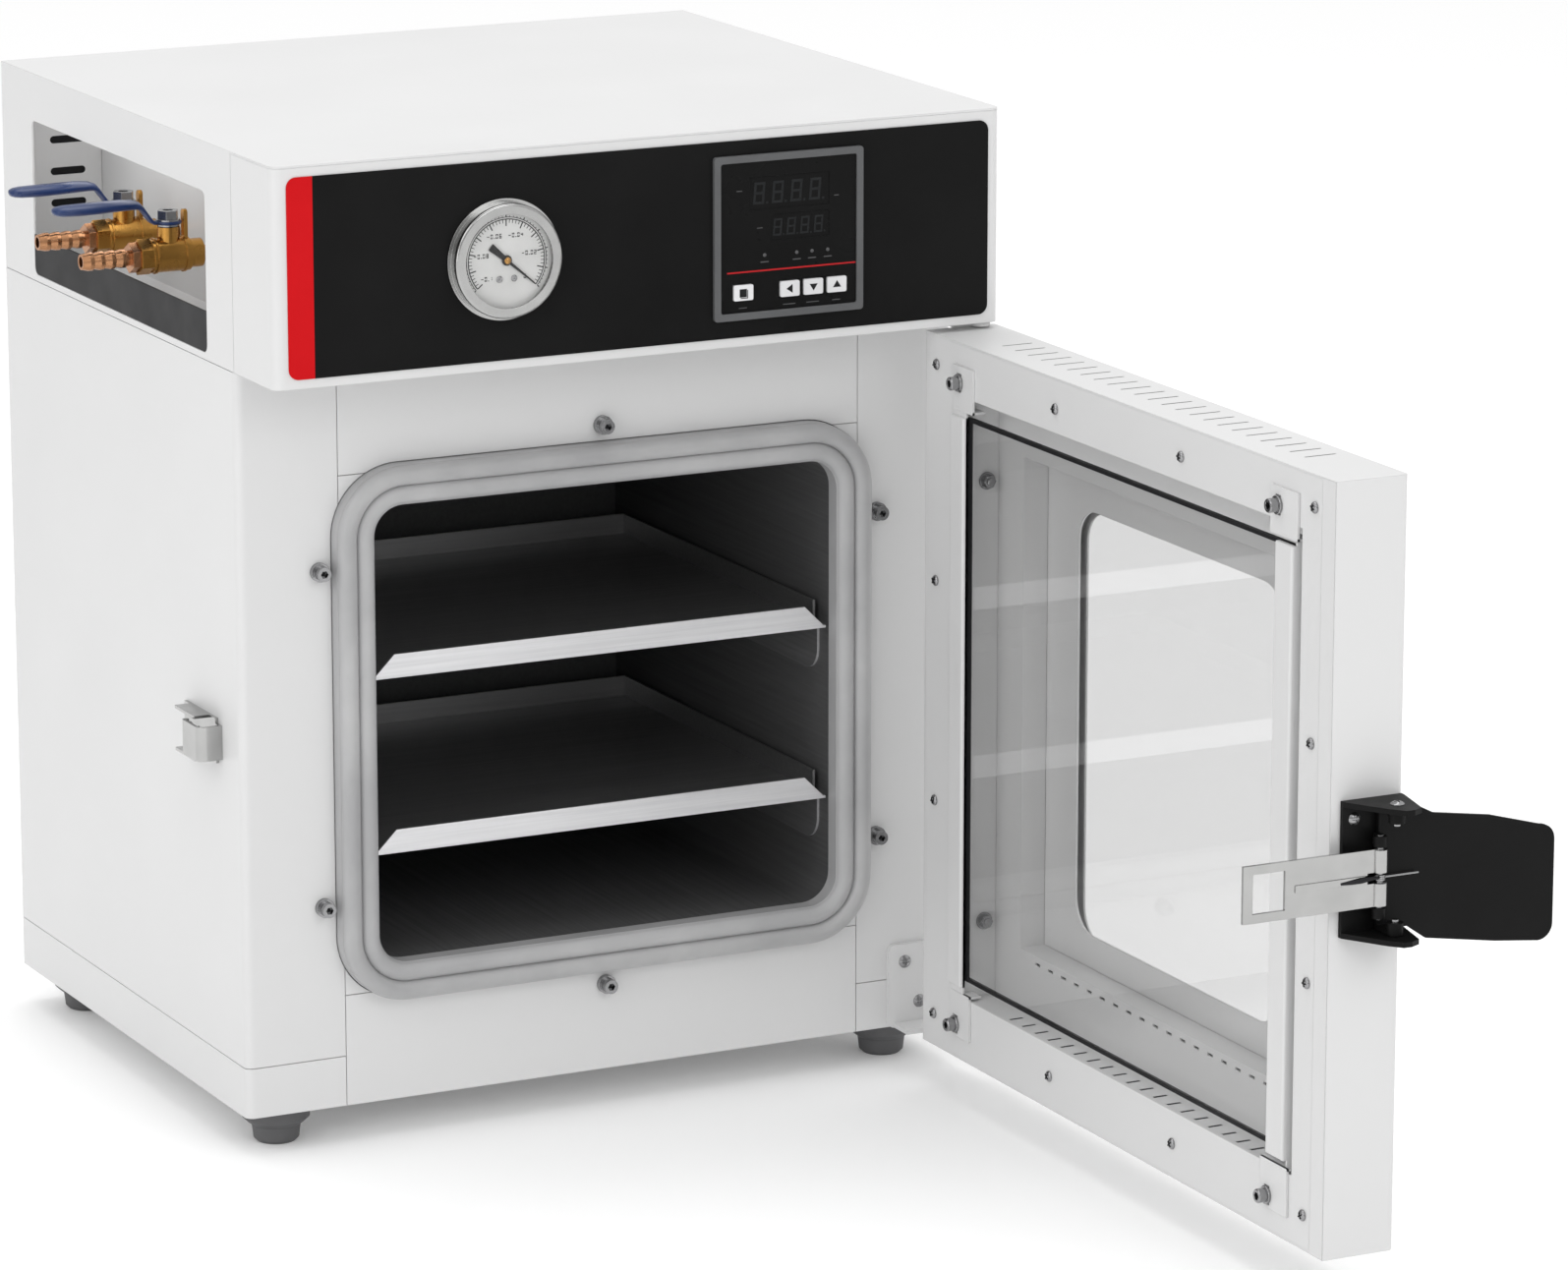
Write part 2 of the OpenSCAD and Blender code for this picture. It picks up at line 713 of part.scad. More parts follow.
// The bright ring: a flange on the fascia and a rolled front edge that holds the lens.
module gauge_bezel() {
    lens_r = gauge_r - 7;
    color("lightgray") translate([gauge_x, gauge_y, panel_z]) rotate([90, 0, 0]) rotate_extrude()
        difference() {
        union() {
            translate([gauge_r - 5 + running, 0]) square([5 - running, 1.6]);
            translate([gauge_r - 5 + running, 0]) square([3, gauge_out - 1.5]);
            translate([lens_r - 1, gauge_out - 1.5]) square([gauge_r - 2 - 1.5 + running - lens_r + 1,
                1.5]);
            translate([gauge_r - 3.5 + running, gauge_out - 1.5]) circle(1.5, $fn = 24);
        }
    }
}

module gauge_dial() {
    color("white") difference() {
        rod_y(gauge_x, panel_z, dial_y, dial_y + 1 - eps, gauge_r - 6.6);
        rod_y(gauge_x, panel_z, dial_y - 1, dial_y + 2, 1.5 + running);
    }
}

module gauge_lens() {
    color("aliceblue", 0.3) rod_y(gauge_x, panel_z, gauge_y - gauge_out + 1.5,
        gauge_y - gauge_out + 2.7, gauge_r - 5 - running);
}

needle_rest = -40;                         // the needle rests at the atmospheric end of the scale
module gauge_needle() {
    color("black") translate([gauge_x, dial_y, panel_z]) rotate([0, -needle_rest, 0]) union() {
        translate([0, -seat - 0.8, 0]) upright(0, 0.6) union() {
            polygon([[0, -0.9], [gauge_r - 13, -0.3], [gauge_r - 13, 0.3], [0, 0.9]]);
            polygon([[-13, -2.2], [0, -1.2], [0, 1.2], [-13, 2.2]]);
            circle(3);
        }
        rod_y(0, 0, -seat - 0.8, 3, 1.5);
    }
}

// ---- controller ----

bezel_w = 4.2;
controller_y = y_fascia - overlay_t - eps;
button_y = controller_y - 1.2;
key_w = 12.4;
key_h = 9.2;
key_z = panel_z - controller_s / 3;
key_x = [for (d = [-29.4, 0.5, 15.7, 30.9]) controller_x + d];

module controller_bezel() {
    s = controller_s;
    color("dimgray") difference() {
        round_plate(controller_x, panel_z, s, s, 2, controller_y - 2.4, 2.4);
        round_plate(controller_x, panel_z, s - 2 * bezel_w, s - 2 * bezel_w, 1.5, controller_y - 3, 4);
    }
}

// The black case fills the bezel; its face has two sunk display windows and four key holes.
module controller_case() {
    s = controller_s - 2 * bezel_w - 2 * running;
    deep = y_fascia + sheet + controller_d;
    color("black") difference() {
        round_plate(controller_x, panel_z, s, s, 1.4, button_y, deep - button_y);
        translate([controller_x, 0, panel_z]) {
            box([-25, button_y - 1, 15.5], [26.4, button_y + 0.5, 34.5]);
            box([-11.7, button_y - 1, -3], [26.4, button_y + 0.5, 12.1]);
        }
        for (x = key_x) box([x - key_w / 2 - 0.3, button_y - 1, key_z - key_h / 2 - 0.3],
            [x + key_w / 2 + 0.3, button_y + 4, key_z + key_h / 2 + 0.3]);
        for (x = key_x) rod_y(x, key_z, button_y + 3, button_y + 12, 2 + running);
    }
}

module key(k) {
    color("silver") union() {
        round_plate(key_x[k], key_z, key_w, key_h, 1, button_y - 1.2, 3.2);
        rod_y(key_x[k], key_z, button_y + 2 - eps, button_y + 10, 2);
    }
}

module button_set() {
    key(0);
}

module button_left() {
    key(1);
}

module button_down() {
    key(2);
}

module button_up() {
    key(3);
}

// ---- valves ----

valve_z = recess_z0 + strip_h + 11;
valve_ys = [y_front + valve_y, y_front + valve_y + valve_pitch];
stem_at_x = x_left + stem_x;
wall_x = x_left + recess_d;                // inner wall of the recess
valve_x0 = stem_at_x - valve_l / 2;
valve_x1 = stem_at_x + valve_l / 2;
pipe_r = 4;
bend = 14;
port_x = 16 - chamber_w / 2;

function chamber_ports() = [[port_x, valve_ys[0]], [port_x, valve_ys[1]], [gauge_x, y_front + 50]];

module recess_tray() {
    y0 = recess_y0 - 4;
    color("whitesmoke") difference() {
        union() {
            box([x_left + sheet + lap, y0, recess_z0 - sheet - 0.5], [wall_x, tray_y1,
                recess_z0 - 0.5]);
            box([wall_x - sheet, y0, recess_z0 - 0.5 - eps], [wall_x, tray_y1, z_top - sheet - lap]);
            box([x_left + sheet + lap, y0, recess_z0 - 0.5 - eps], [wall_x - sheet + eps, y0 + sheet,
                z_top - sheet - lap]);
            box([x_left + sheet + lap, tray_y1 - sheet, recess_z0 - 0.5 - eps], [wall_x - sheet + eps,
                tray_y1, z_top - sheet - lap]);
            box([x_left + sheet + seam, y0 + sheet - eps, recess_z0 - 0.5 - eps],
                [x_left + 2 * sheet + lap, tray_y1 - sheet + eps, recess_z0 + strip_h - 3]);
        }
        for (y = valve_ys) rod_x(y, valve_z, wall_x - sheet - 1, wall_x + 1, pipe_r + 1.6);
        for (k = [0:2]) translate([x_left + 36.5, 0, recess_z0 + 9 + 20.5 * (k + 1)])
            upright(tray_y1 - sheet - 1, sheet + 2) slot(18, 4.4);
    }
}

module recess_strip() {
    color("dimgray") translate([x_left + 0.2, (recess_y0 + recess_y1) / 2, recess_z0 + strip_h / 2])
        rotate([90, 0, 90])
        linear_extrude(sheet + lap - 0.2 - eps) union() {
            round_rect(recess_l - 0.6, strip_h - 0.6, 4.6);
            translate([0, strip_h / 4]) square([recess_l - 0.6, strip_h / 2 - 0.6], center = true);
        }
}

// A brass ball valve: hexagonal end caps, a round body, the stem's neck and a stop tab beside it.
module valve_body(y) {
    r = 10;
    neck_z = valve_z + 17;
    difference() {
        union() {
            rod_x(y, valve_z, valve_x0 + 8 - eps, valve_x1 - 8, r);
            translate([valve_x0, y, valve_z]) rotate([0, 90, 0]) cylinder(r = r + 0.6, h = 8, $fn = 6);
            rod_x(y, valve_z, valve_x0 + 10, valve_x0 + 11.2, r + 0.7);
            rod_x(y, valve_z, valve_x1 - 12, valve_x1 - 10.8, r + 0.7);
            rod_x(y, valve_z, valve_x1 - 8 - eps, valve_x1, r - 1.5);
            rod(stem_at_x, y, valve_z, neck_z, 6.5);
            box([stem_at_x + 9, y - 2.5, valve_z + r - 2], [stem_at_x + 11.4, y + 2.5, neck_z + 7]);
            rod_x(y, neck_z + 7, stem_at_x + 9, stem_at_x + 11.4, 2.5);
        }
        rod_x(y, valve_z, valve_x0 - 1, valve_x1 + 1, pipe_r + running);
        rod(stem_at_x, y, valve_z, neck_z + 1, 2.5 + running);
    }
}

module valve_bodies() {
    color("darkgoldenrod") for (y = valve_ys) valve_body(y);
}

// A hose barb: a hexagon collar and a hollow spigot with sloping ridges.
module hose_barb(y) {
    ridges = 4;
    collar = 5;
    pitch = (barb_l - collar - 3) / ridges;
    x0 = valve_x0 - eps;
    translate([x0, y, valve_z]) rotate([0, -90, 0]) difference() {
        union() {
            cylinder(r = 9, h = collar, $fn = 6);
            cylinder(r = barb_r - 0.9, h = barb_l);
            for (k = [0:ridges - 1]) translate([0, 0, collar + 3 + k * pitch]) {
                cylinder(r = barb_r, h = pitch * 0.35);
                translate([0, 0, pitch * 0.35]) cylinder(r1 = barb_r, r2 = barb_r - 0.9,
                    h = pitch * 0.6);
            }
        }
        translate([0, 0, -1]) cylinder(r = 3.2, h = barb_l + 2);
    }
}

module hose_barbs() {
    color("peru") for (y = valve_ys) hose_barb(y);
}

// The stem with its square shoulder and the nut that holds the lever.
module valve_stem(y) {
    neck_z = valve_z + 17;
    color("silver") difference() {
        union() {
            rod(stem_at_x, y, valve_z + 4, neck_z + 7, 2.5);
            rod(stem_at_x, y, neck_z + seat, neck_z + seat + 1.2, 6.3);
            translate([stem_at_x, y, neck_z + 4.2]) cylinder(r = 6.4, h = 5.4, $fn = 6);
            rod(stem_at_x, y, neck_z + 3.4, neck_z + 4.4, 7);
        }
        translate([stem_at_x, y, neck_z + 8.4]) cylinder(r = 3, h = 4);
    }
}

module front_valve_stem() {
    valve_stem(valve_ys[0]);
}

module rear_valve_stem() {
    valve_stem(valve_ys[1]);
}

// A cranked lever: a ring round the stem, a rising neck and a flat grip with a round end.
module valve_lever(y) {
    z = valve_z + 17 + seat + 1.2 + eps;
    rise = 11;
    t = 1.8;
    grip_w = 14;
    neck = 18;
    color("royalblue") difference() {
        union() {
            rod(stem_at_x, y, z, z + t, 8);
            translate([stem_at_x, y + 5, z]) rotate([90, 0, 0]) linear_extrude(10)
                polygon([[0, 0], [-10, 0], [-neck, rise], [-neck - 3, rise],
                    [-neck - 3, rise + t + 1.2], [-neck + 1, rise + t + 1.2], [-9, t], [0, t]]);
            hull() {
                translate([stem_at_x - neck - 4, y, z + rise]) cylinder(r = 5, h = t + 2.4, $fn = 32);
                translate([stem_at_x - valve_lever_l + grip_w / 2, y, z + rise - 0.6])
                    cylinder(r = grip_w / 2 - 1, h = t + 3.4, $fn = 32);
            }
        }
        rod(stem_at_x, y, z - 1, z + t + 1, 2.5 + running);
    }
}

module front_valve_lever() {
    valve_lever(valve_ys[0]);
}

module rear_valve_lever() {
    valve_lever(valve_ys[1]);
}

// Vacuum pipes: two run from the valves through the recess wall and turn down into the chamber roof,
// and one runs from the gauge's back.
module pipe_run(l_flat, drop) {
    difference() {
        union() {
            rotate([0, 90, 0]) cylinder(r = pipe_r, h = l_flat - bend);
            translate([l_flat - bend, 0, -bend]) rotate([90, 0, 0]) rotate_extrude(angle = 90)
                translate([bend, 0]) circle(pipe_r);
            translate([l_flat, 0, -drop]) cylinder(r = pipe_r, h = drop - bend);
        }
        translate([-1, 0, 0]) rotate([0, 90, 0]) cylinder(r = pipe_r - 1, h = l_flat - bend + 1);
        translate([l_flat - bend, 0, -bend]) rotate([90, 0, 0]) rotate_extrude(angle = 90)
            translate([bend, 0]) circle(pipe_r - 1);
        translate([l_flat, 0, -drop - 1]) cylinder(r = pipe_r - 1, h = drop - bend + 1);
    }
}

module vacuum_pipes() {
    roof = zc + chamber_h / 2;
    x0 = valve_x1 - 12;
    color("goldenrod") union() {
        for (y = valve_ys) translate([x0, y, valve_z]) pipe_run(port_x - x0, valve_z - roof);
        translate([gauge_x, gauge_y + 12, panel_z]) rotate([0, 0, 90])
            pipe_run(y_front + 50 - gauge_y - 12, panel_z - roof);
    }
}

// ---- power inlet at the back ----

inlet_x = x_right - 60;
inlet_z = z_under + 70;

module inlet_cut(y, t) {
    box([inlet_x - 14, y, inlet_z - 24], [inlet_x + 14, y + t, inlet_z + 24]);
}

// A fused inlet with three blades in a shaped well, over a switch opening.
module power_inlet() {
    y = y_back;
    color("black") union() {
        difference() {
            union() {
                round_plate(inlet_x, inlet_z, 34, 54, 3, y + eps, 2.5);
                box([inlet_x - 13.6, y - 24, inlet_z - 23.6], [inlet_x + 13.6, y + 2 * eps,
                    inlet_z + 23.6]);
            }
            translate([inlet_x, 0, inlet_z - 9]) upright(y - 18, 22)
                polygon([[-12, -8], [12, -8], [12, 5], [8.5, 8.3], [-8.5, 8.3], [-12, 5]]);
            box([inlet_x - 10, y - 15, inlet_z + 5], [inlet_x + 10, y + 4, inlet_z + 21]);
            rod_x(y - 4, inlet_z + 13, inlet_x - 12, inlet_x + 12, 1.5 + running);
        }
        for (p = [[-7, -1], [0, 3], [7, -1]])
            box([inlet_x + p[0] - 1, y - 18 - eps, inlet_z - 9 + p[1] - 2], [inlet_x + p[0] + 1, y - 4,
                inlet_z - 9 + p[1] + 2]);
    }
}

// The rocker: a block with two sloping faces, turning on its cross pin.
module power_rocker() {
    color("firebrick") translate([inlet_x, y_back - 4, inlet_z + 13]) rotate([-7, 0, 0]) union() {
        translate([-9, 0, 0]) rotate([90, 0, 90]) linear_extrude(18)
            polygon([[-3, -6], [5, -6.2], [3.4, 0], [5, 6.2], [-3, 6]]);
        rod_x(0, 0, -11.5, 11.5, 1.5);
    }
}

// ---- hinges, catch and their screws ----

lower_tab_z = door_z0 - 2 - hinge_t;
upper_tab_z = z_house - hinge_t;
hinge_foot_x = x_right - 42;               // left edge of the two hinge plates
hinge_foot_w = 34;
hinge_screws = [[11, 41], [21, 15]];       // screws of the lower bracket, from its lower left corner
flat_screws = [[9, 12], [28, 12]];         // screws of the upper plate, from the cabinet's front

// The lower bracket and the upper plate, each with the pin the door turns on.
module hinge_brackets() {
    x0 = hinge_foot_x;
    color("gainsboro") difference() {
        union() {
            round_plate(x0 + hinge_foot_w / 2, lower_tab_z + 26, hinge_foot_w, 52, 4, y_front - hinge_t,
                hinge_t - eps);
            box([x0 + 4, y_front - 20, lower_tab_z], [x_right - 2, y_front - eps,
                lower_tab_z + hinge_t]);
            box([x0 + 16, hinge_y, lower_tab_z], [x_right - 2, y_front - 20 + eps,
                lower_tab_z + hinge_t]);
            rod(hinge_x - 6, hinge_y, lower_tab_z, lower_tab_z + hinge_t, 9);
            rod(hinge_x, hinge_y, lower_tab_z + hinge_t - eps, door_z0 - seat, 4.4);
            rod(hinge_x, hinge_y, door_z0 - 1, door_z0 + 15, pin_r);
            rod(hinge_x, hinge_y, lower_tab_z - 2.5, lower_tab_z + eps, 4.8);
            box([x0, y_front - 22, upper_tab_z], [x_right - 2, y_front - seat, z_house - eps]);
            box([x0 + 16, hinge_y, upper_tab_z], [hinge_x + 3, y_front - 22 + eps, z_house - eps]);
            rod(hinge_x - 3, hinge_y, upper_tab_z, z_house - eps, 6);
            rod(hinge_x, hinge_y, door_z1 - 15, upper_tab_z + eps, pin_r);
        }
        for (p = flat_screws) rod(x0 + p[0], y_front - p[1], upper_tab_z - 1, z_house, 3 + lap);
        for (p = hinge_screws) rod_y(x0 + p[0], lower_tab_z + p[1], y_front - hinge_t - 1, y_front + 1,
            2 + lap);
    }
}

catch_z = hasp_zc - 2;
catch_l = 54;
catch_holes = [32, 45];                    // screws of the catch, from its front web

// The catch: a plate on the cabinet's side, a front web and a hook whose plate runs to the rear.
module catch() {
    t = catch_t;
    h = 27;
    hook_h = 20.4;
    y0 = y_front + catch_y;
    x0 = x_left - eps;
    r = 5;
    x1 = x0 - catch_out;
    color("silver") difference() {
        union() {
            box([x0 - t, y0 + 6, catch_z - h / 2], [x0, y0 + catch_l, catch_z + h / 2]);
            box([x1 + r, y0, catch_z - hook_h / 2], [x0, y0 + t, catch_z + hook_h / 2]);
            box([x0 - t, y0, catch_z - hook_h / 2], [x0, y0 + 8, catch_z + hook_h / 2]);
            translate([x1 + r, y0 + r, catch_z - hook_h / 2]) linear_extrude(hook_h) difference() {
                intersection() {
                    circle(r);
                    translate([-r, -r]) square([r + eps, r + eps]);
                }
                circle(r - t);
            }
            box([x1, y0 + r - eps, catch_z - hook_h / 2], [x1 + t, y0 + 24, catch_z + hook_h / 2]);
            rod(x1 + 2, y0 + 24, catch_z - hook_h / 2, catch_z + hook_h / 2, 2);
            box([x0 - 11, y0 + 16, catch_z + h / 2 - t], [x0 - t + eps, y0 + catch_l - 8,
                catch_z + h / 2]);
            box([x0 - 11, y0 + 16, catch_z - h / 2], [x0 - t + eps, y0 + catch_l - 8,
                catch_z - h / 2 + t]);
        }
        for (dy = catch_holes) rod_x(y0 + dy, catch_z, x0 - t - 1, x0 + 1, 1.5 + lap);
    }
}

// Screws of the lower hinge bracket, the upper hinge plate, the catch, the casing and the feet.
module cabinet_screws() {
    color("silver") union() {
        for (p = hinge_screws) pan_screw(hinge_foot_x + p[0], lower_tab_z + p[1], y_front - hinge_t, 4,
            hinge_t);
        for (p = flat_screws) flat_screw(hinge_foot_x + p[0], y_front - p[1], upper_tab_z, 3, hinge_t);
        for (dy = catch_holes) translate([x_left - eps - catch_t, y_front + catch_y + dy, catch_z])
            rotate([0, 0, -90]) pan_screw(0, 0, 0, 3, catch_t);
        for (sx = [0, 1], z = [z_under + pan_h + 30, zc, z_house - 40]) mirror([sx, 0, 0])
            pan_screw_back(x_left + 8, z, y_back, 3.4);
        at_feet() {
            rod(0, 0, foot_h * 0.3 - 3, foot_h * 0.3, foot_screw_r + 2.4);
            rod(0, 0, foot_h * 0.3 - eps, z_under + sheet + 6, foot_screw_r);
            rod(0, 0, z_under + sheet, z_under + sheet + 5, foot_screw_r + 2);
        }
    }
}

// A flat-headed screw let into a plate from below.
module flat_screw(x, y, z, r, t) {
    difference() {
        rod(x, y, z + 0.2, z + t - eps, r);
        for (a = [0, 90]) translate([x, y, z]) rotate([0, 0, a]) cube([r * 1.2, r * 0.3, 1.8],
            center = true);
    }
}

// A pan-head screw on the back of the cabinet.
module pan_screw_back(x, z, y, r) {
    translate([x, y, z]) rotate([0, 0, 180]) pan_screw(0, 0, 0, r, 0);
}

// ---- door ----

// Everything on the door is drawn shut and then swung open about the hinge pins.
module on_door() {
    translate([hinge_x, hinge_y, 0]) rotate([0, 0, door_open]) translate([-hinge_x, -hinge_y, 0])
        children();
}

door_xc = (door_x0 + door_x1) / 2;
door_in_w = door_w - 2 * border_side;      // opening in the inner border
door_in_h = door_h - 2 * border_end;
inner_gap = sheet + lap;
slot_n = floor((door_w - 2 * border_side) / slot_pitch);
skin_y = door_yo + sheet;                  // back of the outer skin
step_y = door_yi - step_depth;             // face of the inner step

// Slots in a row along X through a sheet lying flat.
module slot_row(y, z, l, n) {
    for (k = [0:n - 1]) translate([door_xc + (k - (n - 1) / 2) * slot_pitch, y, z]) rotate([0, 0, 90])
        linear_extrude(3 * sheet) slot(l, slot_w);
}

// The outer skin: a pan with the window cut-out, slotted top and bottom edges and bevelled corners.
module door_shell() {
    r = 3;
    color("whitesmoke") on_door() difference() {
        translate([0, 0, door_z0]) linear_extrude(door_h) union() {
            translate([door_x0, door_yo + r]) square([door_w, door_t - r]);
            translate([door_x0 + r, door_yo]) square([door_w - 2 * r, r + eps]);
            for (x = [door_x0 + r, door_x1 - r]) translate([x, door_yo + r]) circle(r);
        }
        box([door_x0 + sheet, skin_y, door_z0 + sheet], [door_x1 - sheet, door_yi + 1,
            door_z1 - sheet]);
        round_plate(door_xc, zc, window_w, window_h, window_r, door_yo - 1, sheet + 2);
        for (z = [door_z0 - sheet, door_z1 - 2 * sheet]) slot_row(door_yo + door_t * 0.4, z, slot_l,
            slot_n);
        for (z = [door_z0 - 1, door_z1 - sheet - 1]) rod(hinge_x, hinge_y, z, z + sheet + 2,
            pin_r + 0.6);
        for (dz = latch_holes) rod_x(latch_y, latch_zc + dz, door_x0 - 1, door_x0 + sheet + 1, 2 + lap);
    }
}

// The inner frame: a border flush with the walls, a tunnel to the step and a second tunnel to the skin.
module door_liner() {
    w1 = door_in_w;
    h1 = door_in_h;
    w2 = door_in_w - 2 * step_w;
    h2 = door_in_h - 2 * step_w;
    color("gainsboro") on_door() difference() {
        union() {
            box([door_x0 + inner_gap, door_yi - sheet, door_z0 + inner_gap], [door_x1 - inner_gap,
                door_yi, door_z1 - inner_gap]);
            frame_box(w1 + 2 * sheet, h1 + 2 * sheet, step_y - sheet, door_yi - eps);
            frame_box(w2 + 2 * sheet, h2 + 2 * sheet, skin_y + outer_glass_t + lap, step_y - eps);
        }
        frame_box(w1, h1, step_y, door_yi + 1);
        frame_box(w2, h2, door_yo, step_y + 1);
        slot_row(door_yi - 8, zc - h1 / 2 - 2 * sheet, 9, slot_n);
        slot_row(step_y - 4, zc - h2 / 2 - 2 * sheet, 4, slot_n - 4);
        for (p = border_points()) rod_y(p[0], p[1], door_yi - sheet - 1, door_yi + 1, 1.6 + lap);
        for (p = corner_points()) rod_y(p[0], p[1], door_yi - sheet - 1, door_yi + 1, 2.4 + lap);
        for (z = side_bolts) rod_x(side_bolt_y, z, door_xc + w1 / 2 - 1, door_xc + w1 / 2 + 3,
            2.5 + lap);
    }
}

module frame_box(w, h, y0, y1) {
    box([door_xc - w / 2, y0, zc - h / 2], [door_xc + w / 2, y1, zc + h / 2]);
}

side_bolts = [zc - 122, zc + 137];
side_washer_r = 5;
side_bolt_y = step_y + side_washer_r + seat;
latch_holes = [-20, 28];
latch_w = 38;
latch_y = door_yo + latch_w - 6;

// Twelve screws round the border.
function border_points() = concat(
    [for (x = [door_x1 - 14, door_x1 - 160, door_x1 - 306, door_x0 + 15], z = [door_z0 + 20,
        door_z1 - 18]) [x, z]],
    [for (x = [door_x1 - 14, door_x0 + 15], z = [zc - 69, zc + 65]) [x, z]]);

// Four bolts that hold the glass bars.
bar_w = 30;
hinge_bar_x = door_x1 - border_side + 0.5;
free_bar_x = door_x0 + border_side + 14;
function corner_points() = [for (x = [hinge_bar_x + 13, free_bar_x - 6], z = [door_z0 + 21.5,
    door_z1 - 23.5]) [x, z]];

module outer_window() {
    color("lightcyan", 0.35) on_door()
        round_plate(door_xc, zc, window_w + 30, window_h + 30, window_r, skin_y + eps, outer_glass_t);
}

// The thick inner glass, between the bars.
glass_x0 = free_bar_x + lap;
glass_x1 = hinge_bar_x - 0.5 - lap;
glass_h = door_in_h - 2 * glass_gap;
glass_front = door_yi - glass_sink;
edging_t = 2;

module inner_glass() {
    color("lightcyan", 0.35) on_door()
        box([glass_x0 + edging_t, glass_front - glass_t, zc - glass_h / 2 + edging_t],
            [glass_x1 - edging_t, glass_front - 0.2, zc + glass_h / 2 - edging_t]);
}

// A rubber channel round the glass: a band on its edge and a lip over its front.
module glass_edging() {
    lip = 5;
    color("black") on_door() difference() {
        box([glass_x0, glass_front - glass_t, zc - glass_h / 2], [glass_x1, glass_front,
            zc + glass_h / 2]);
        box([glass_x0 + edging_t - lap, glass_front - glass_t - 1, zc - glass_h / 2 + edging_t - lap],
            [glass_x1 - edging_t + lap, glass_front - 0.15, zc + glass_h / 2 - edging_t + lap]);
        box([glass_x0 + edging_t + 1, glass_front - 1, zc - glass_h / 2 + edging_t + 1],
            [glass_x1 - lip, glass_front + 1, zc + glass_h / 2 - lip]);
    }
}

// Two upright channels that hold the glass, each ending in ears with an oblong slot.
module glass_bars() {
    proud = 3.4;
    z0 = zc - door_in_h / 2 - 3;
    z1 = zc + door_in_h / 2 + 3;
    r = 4;
    color("whitesmoke") on_door() for (x = [hinge_bar_x - 0.5 + eps, free_bar_x - bar_w]) difference() {
        union() {
            translate([0, 0, z0]) linear_extrude(z1 - z0) union() {
                translate([x + r, door_yi + lap]) square([bar_w - 2 * r, proud - lap]);
                translate([x, door_yi + lap]) square([bar_w, proud - 1.5]);
                for (cx = [x + 1.5 + lap, x + bar_w - 1.5 - lap]) translate([cx, door_yi + proud - 1.5])
                    circle(1.5);
                translate([x + 1.5, door_yi + proud - 1.5]) square([bar_w - 3, 1.5]);
            }
            round_plate(x + bar_w / 2, zc, bar_w - 2, door_in_h + 64, 3, door_yi + lap, 1.5);
            if (x < door_xc)
                box([free_bar_x - 1.5, door_yi - glass_t, zc - glass_h / 2], [free_bar_x, door_yi + 1,
                    zc + glass_h / 2]);
        }
        for (p = corner_points()) translate([p[0], 0, p[1]]) upright(door_yi - 1, proud + 2)
            rotate([0, 0, 90]) slot(11, 5.6);
    }
}

module corner_bolts() {
    color("silver") on_door() union() {
        for (p = corner_points()) translate([p[0], door_yi + 1.5 + lap, p[1]]) rotate([0, 0, 180])
            cap_screw(0, 0, 0, 4, 5, 5, 1.6, 8);
        for (z = side_bolts) translate([door_xc + door_in_w / 2, side_bolt_y, z]) rotate([0, 0, 90])
            side_bolt();
    }
}

// A hexagon bolt with a washer, its head towards the middle of the door.
module side_bolt() {
    rod_y(0, 0, 0, 1.6, side_washer_r);
    translate([0, 5, 0]) rotate([90, 0, 0]) cylinder(r = side_washer_r - 1, h = 3.4 + eps, $fn = 6);
    rod_y(0, 0, -2.5, 1, 2.5);
}

module door_screws() {
    color("silver") on_door() for (p = border_points())
        translate([p[0], door_yi, p[1]]) rotate([0, 0, 180]) pan_screw(0, 0, 0, 3.2, sheet + 6);
}

// Blocks inside the door's two hinge corners, bored for the pins.
module hinge_bushes() {
    color("dimgray") on_door() for (z = [door_z0 + sheet, door_z1 - sheet - 18]) difference() {
        box([hinge_x - 9, skin_y + lap, z], [door_x1 - sheet - lap, hinge_y + 9, z + 18]);
        rod(hinge_x, hinge_y, z - 1, z + 19, pin_r + running);
    }
}

// ---- latch ----

latch_t = 3;
latch_x = door_x0 - latch_t;               // outer face of the base plate
latch_y0 = door_yo + 1;
ear_z = [latch_zc - latch_h / 2, latch_zc + latch_h / 2 - latch_t];

// The base: a plate on the door's edge and two ears that carry the lever's pivot screws.
module latch_base() {
    color("black") on_door() difference() {
        union() {
            box([latch_x, latch_y0, latch_zc - latch_h / 2],
                [door_x0 - eps, latch_y0 + latch_w, latch_zc + latch_h / 2]);
            for (z = ear_z) translate([0, 0, z]) linear_extrude(latch_t)
                polygon([[latch_x + eps, latch_y0], [lever_x - 12, lever_y - 8], [lever_x - 15,
                    lever_y - 2],
                    [lever_x - 15, lever_y + 3], [lever_x - 8, lever_y + 9], [latch_x + eps,
                        latch_y0 + latch_w]]);
        }
        for (z = ear_z) rod(lever_x, lever_y, z - 1, z + latch_t + 1, latch_pin_r + running);
        for (dz = latch_holes) rod_x(latch_y, latch_zc + dz, latch_x - 1, door_x0 + 1, 2 + lap);
    }
}

boss_l = 7;                                // length of the lever's two pivot bosses

// Pivot screws through the ears and the two screws that hold the base.
module latch_screws() {
    color("silver") on_door() union() {
        for (s = [-1, 1]) translate([lever_x, lever_y, latch_zc + s * latch_h / 2])
            rotate([-90 * s, 0, 0])
            pan_screw(0, 0, 0, 2 * latch_pin_r, latch_t + boss_l + 2);
        for (dz = latch_holes) translate([latch_x, latch_y, latch_zc + dz]) rotate([0, 0, -90])
            pan_screw(0, 0, 0, 3.6, latch_t + 3);
    }
}

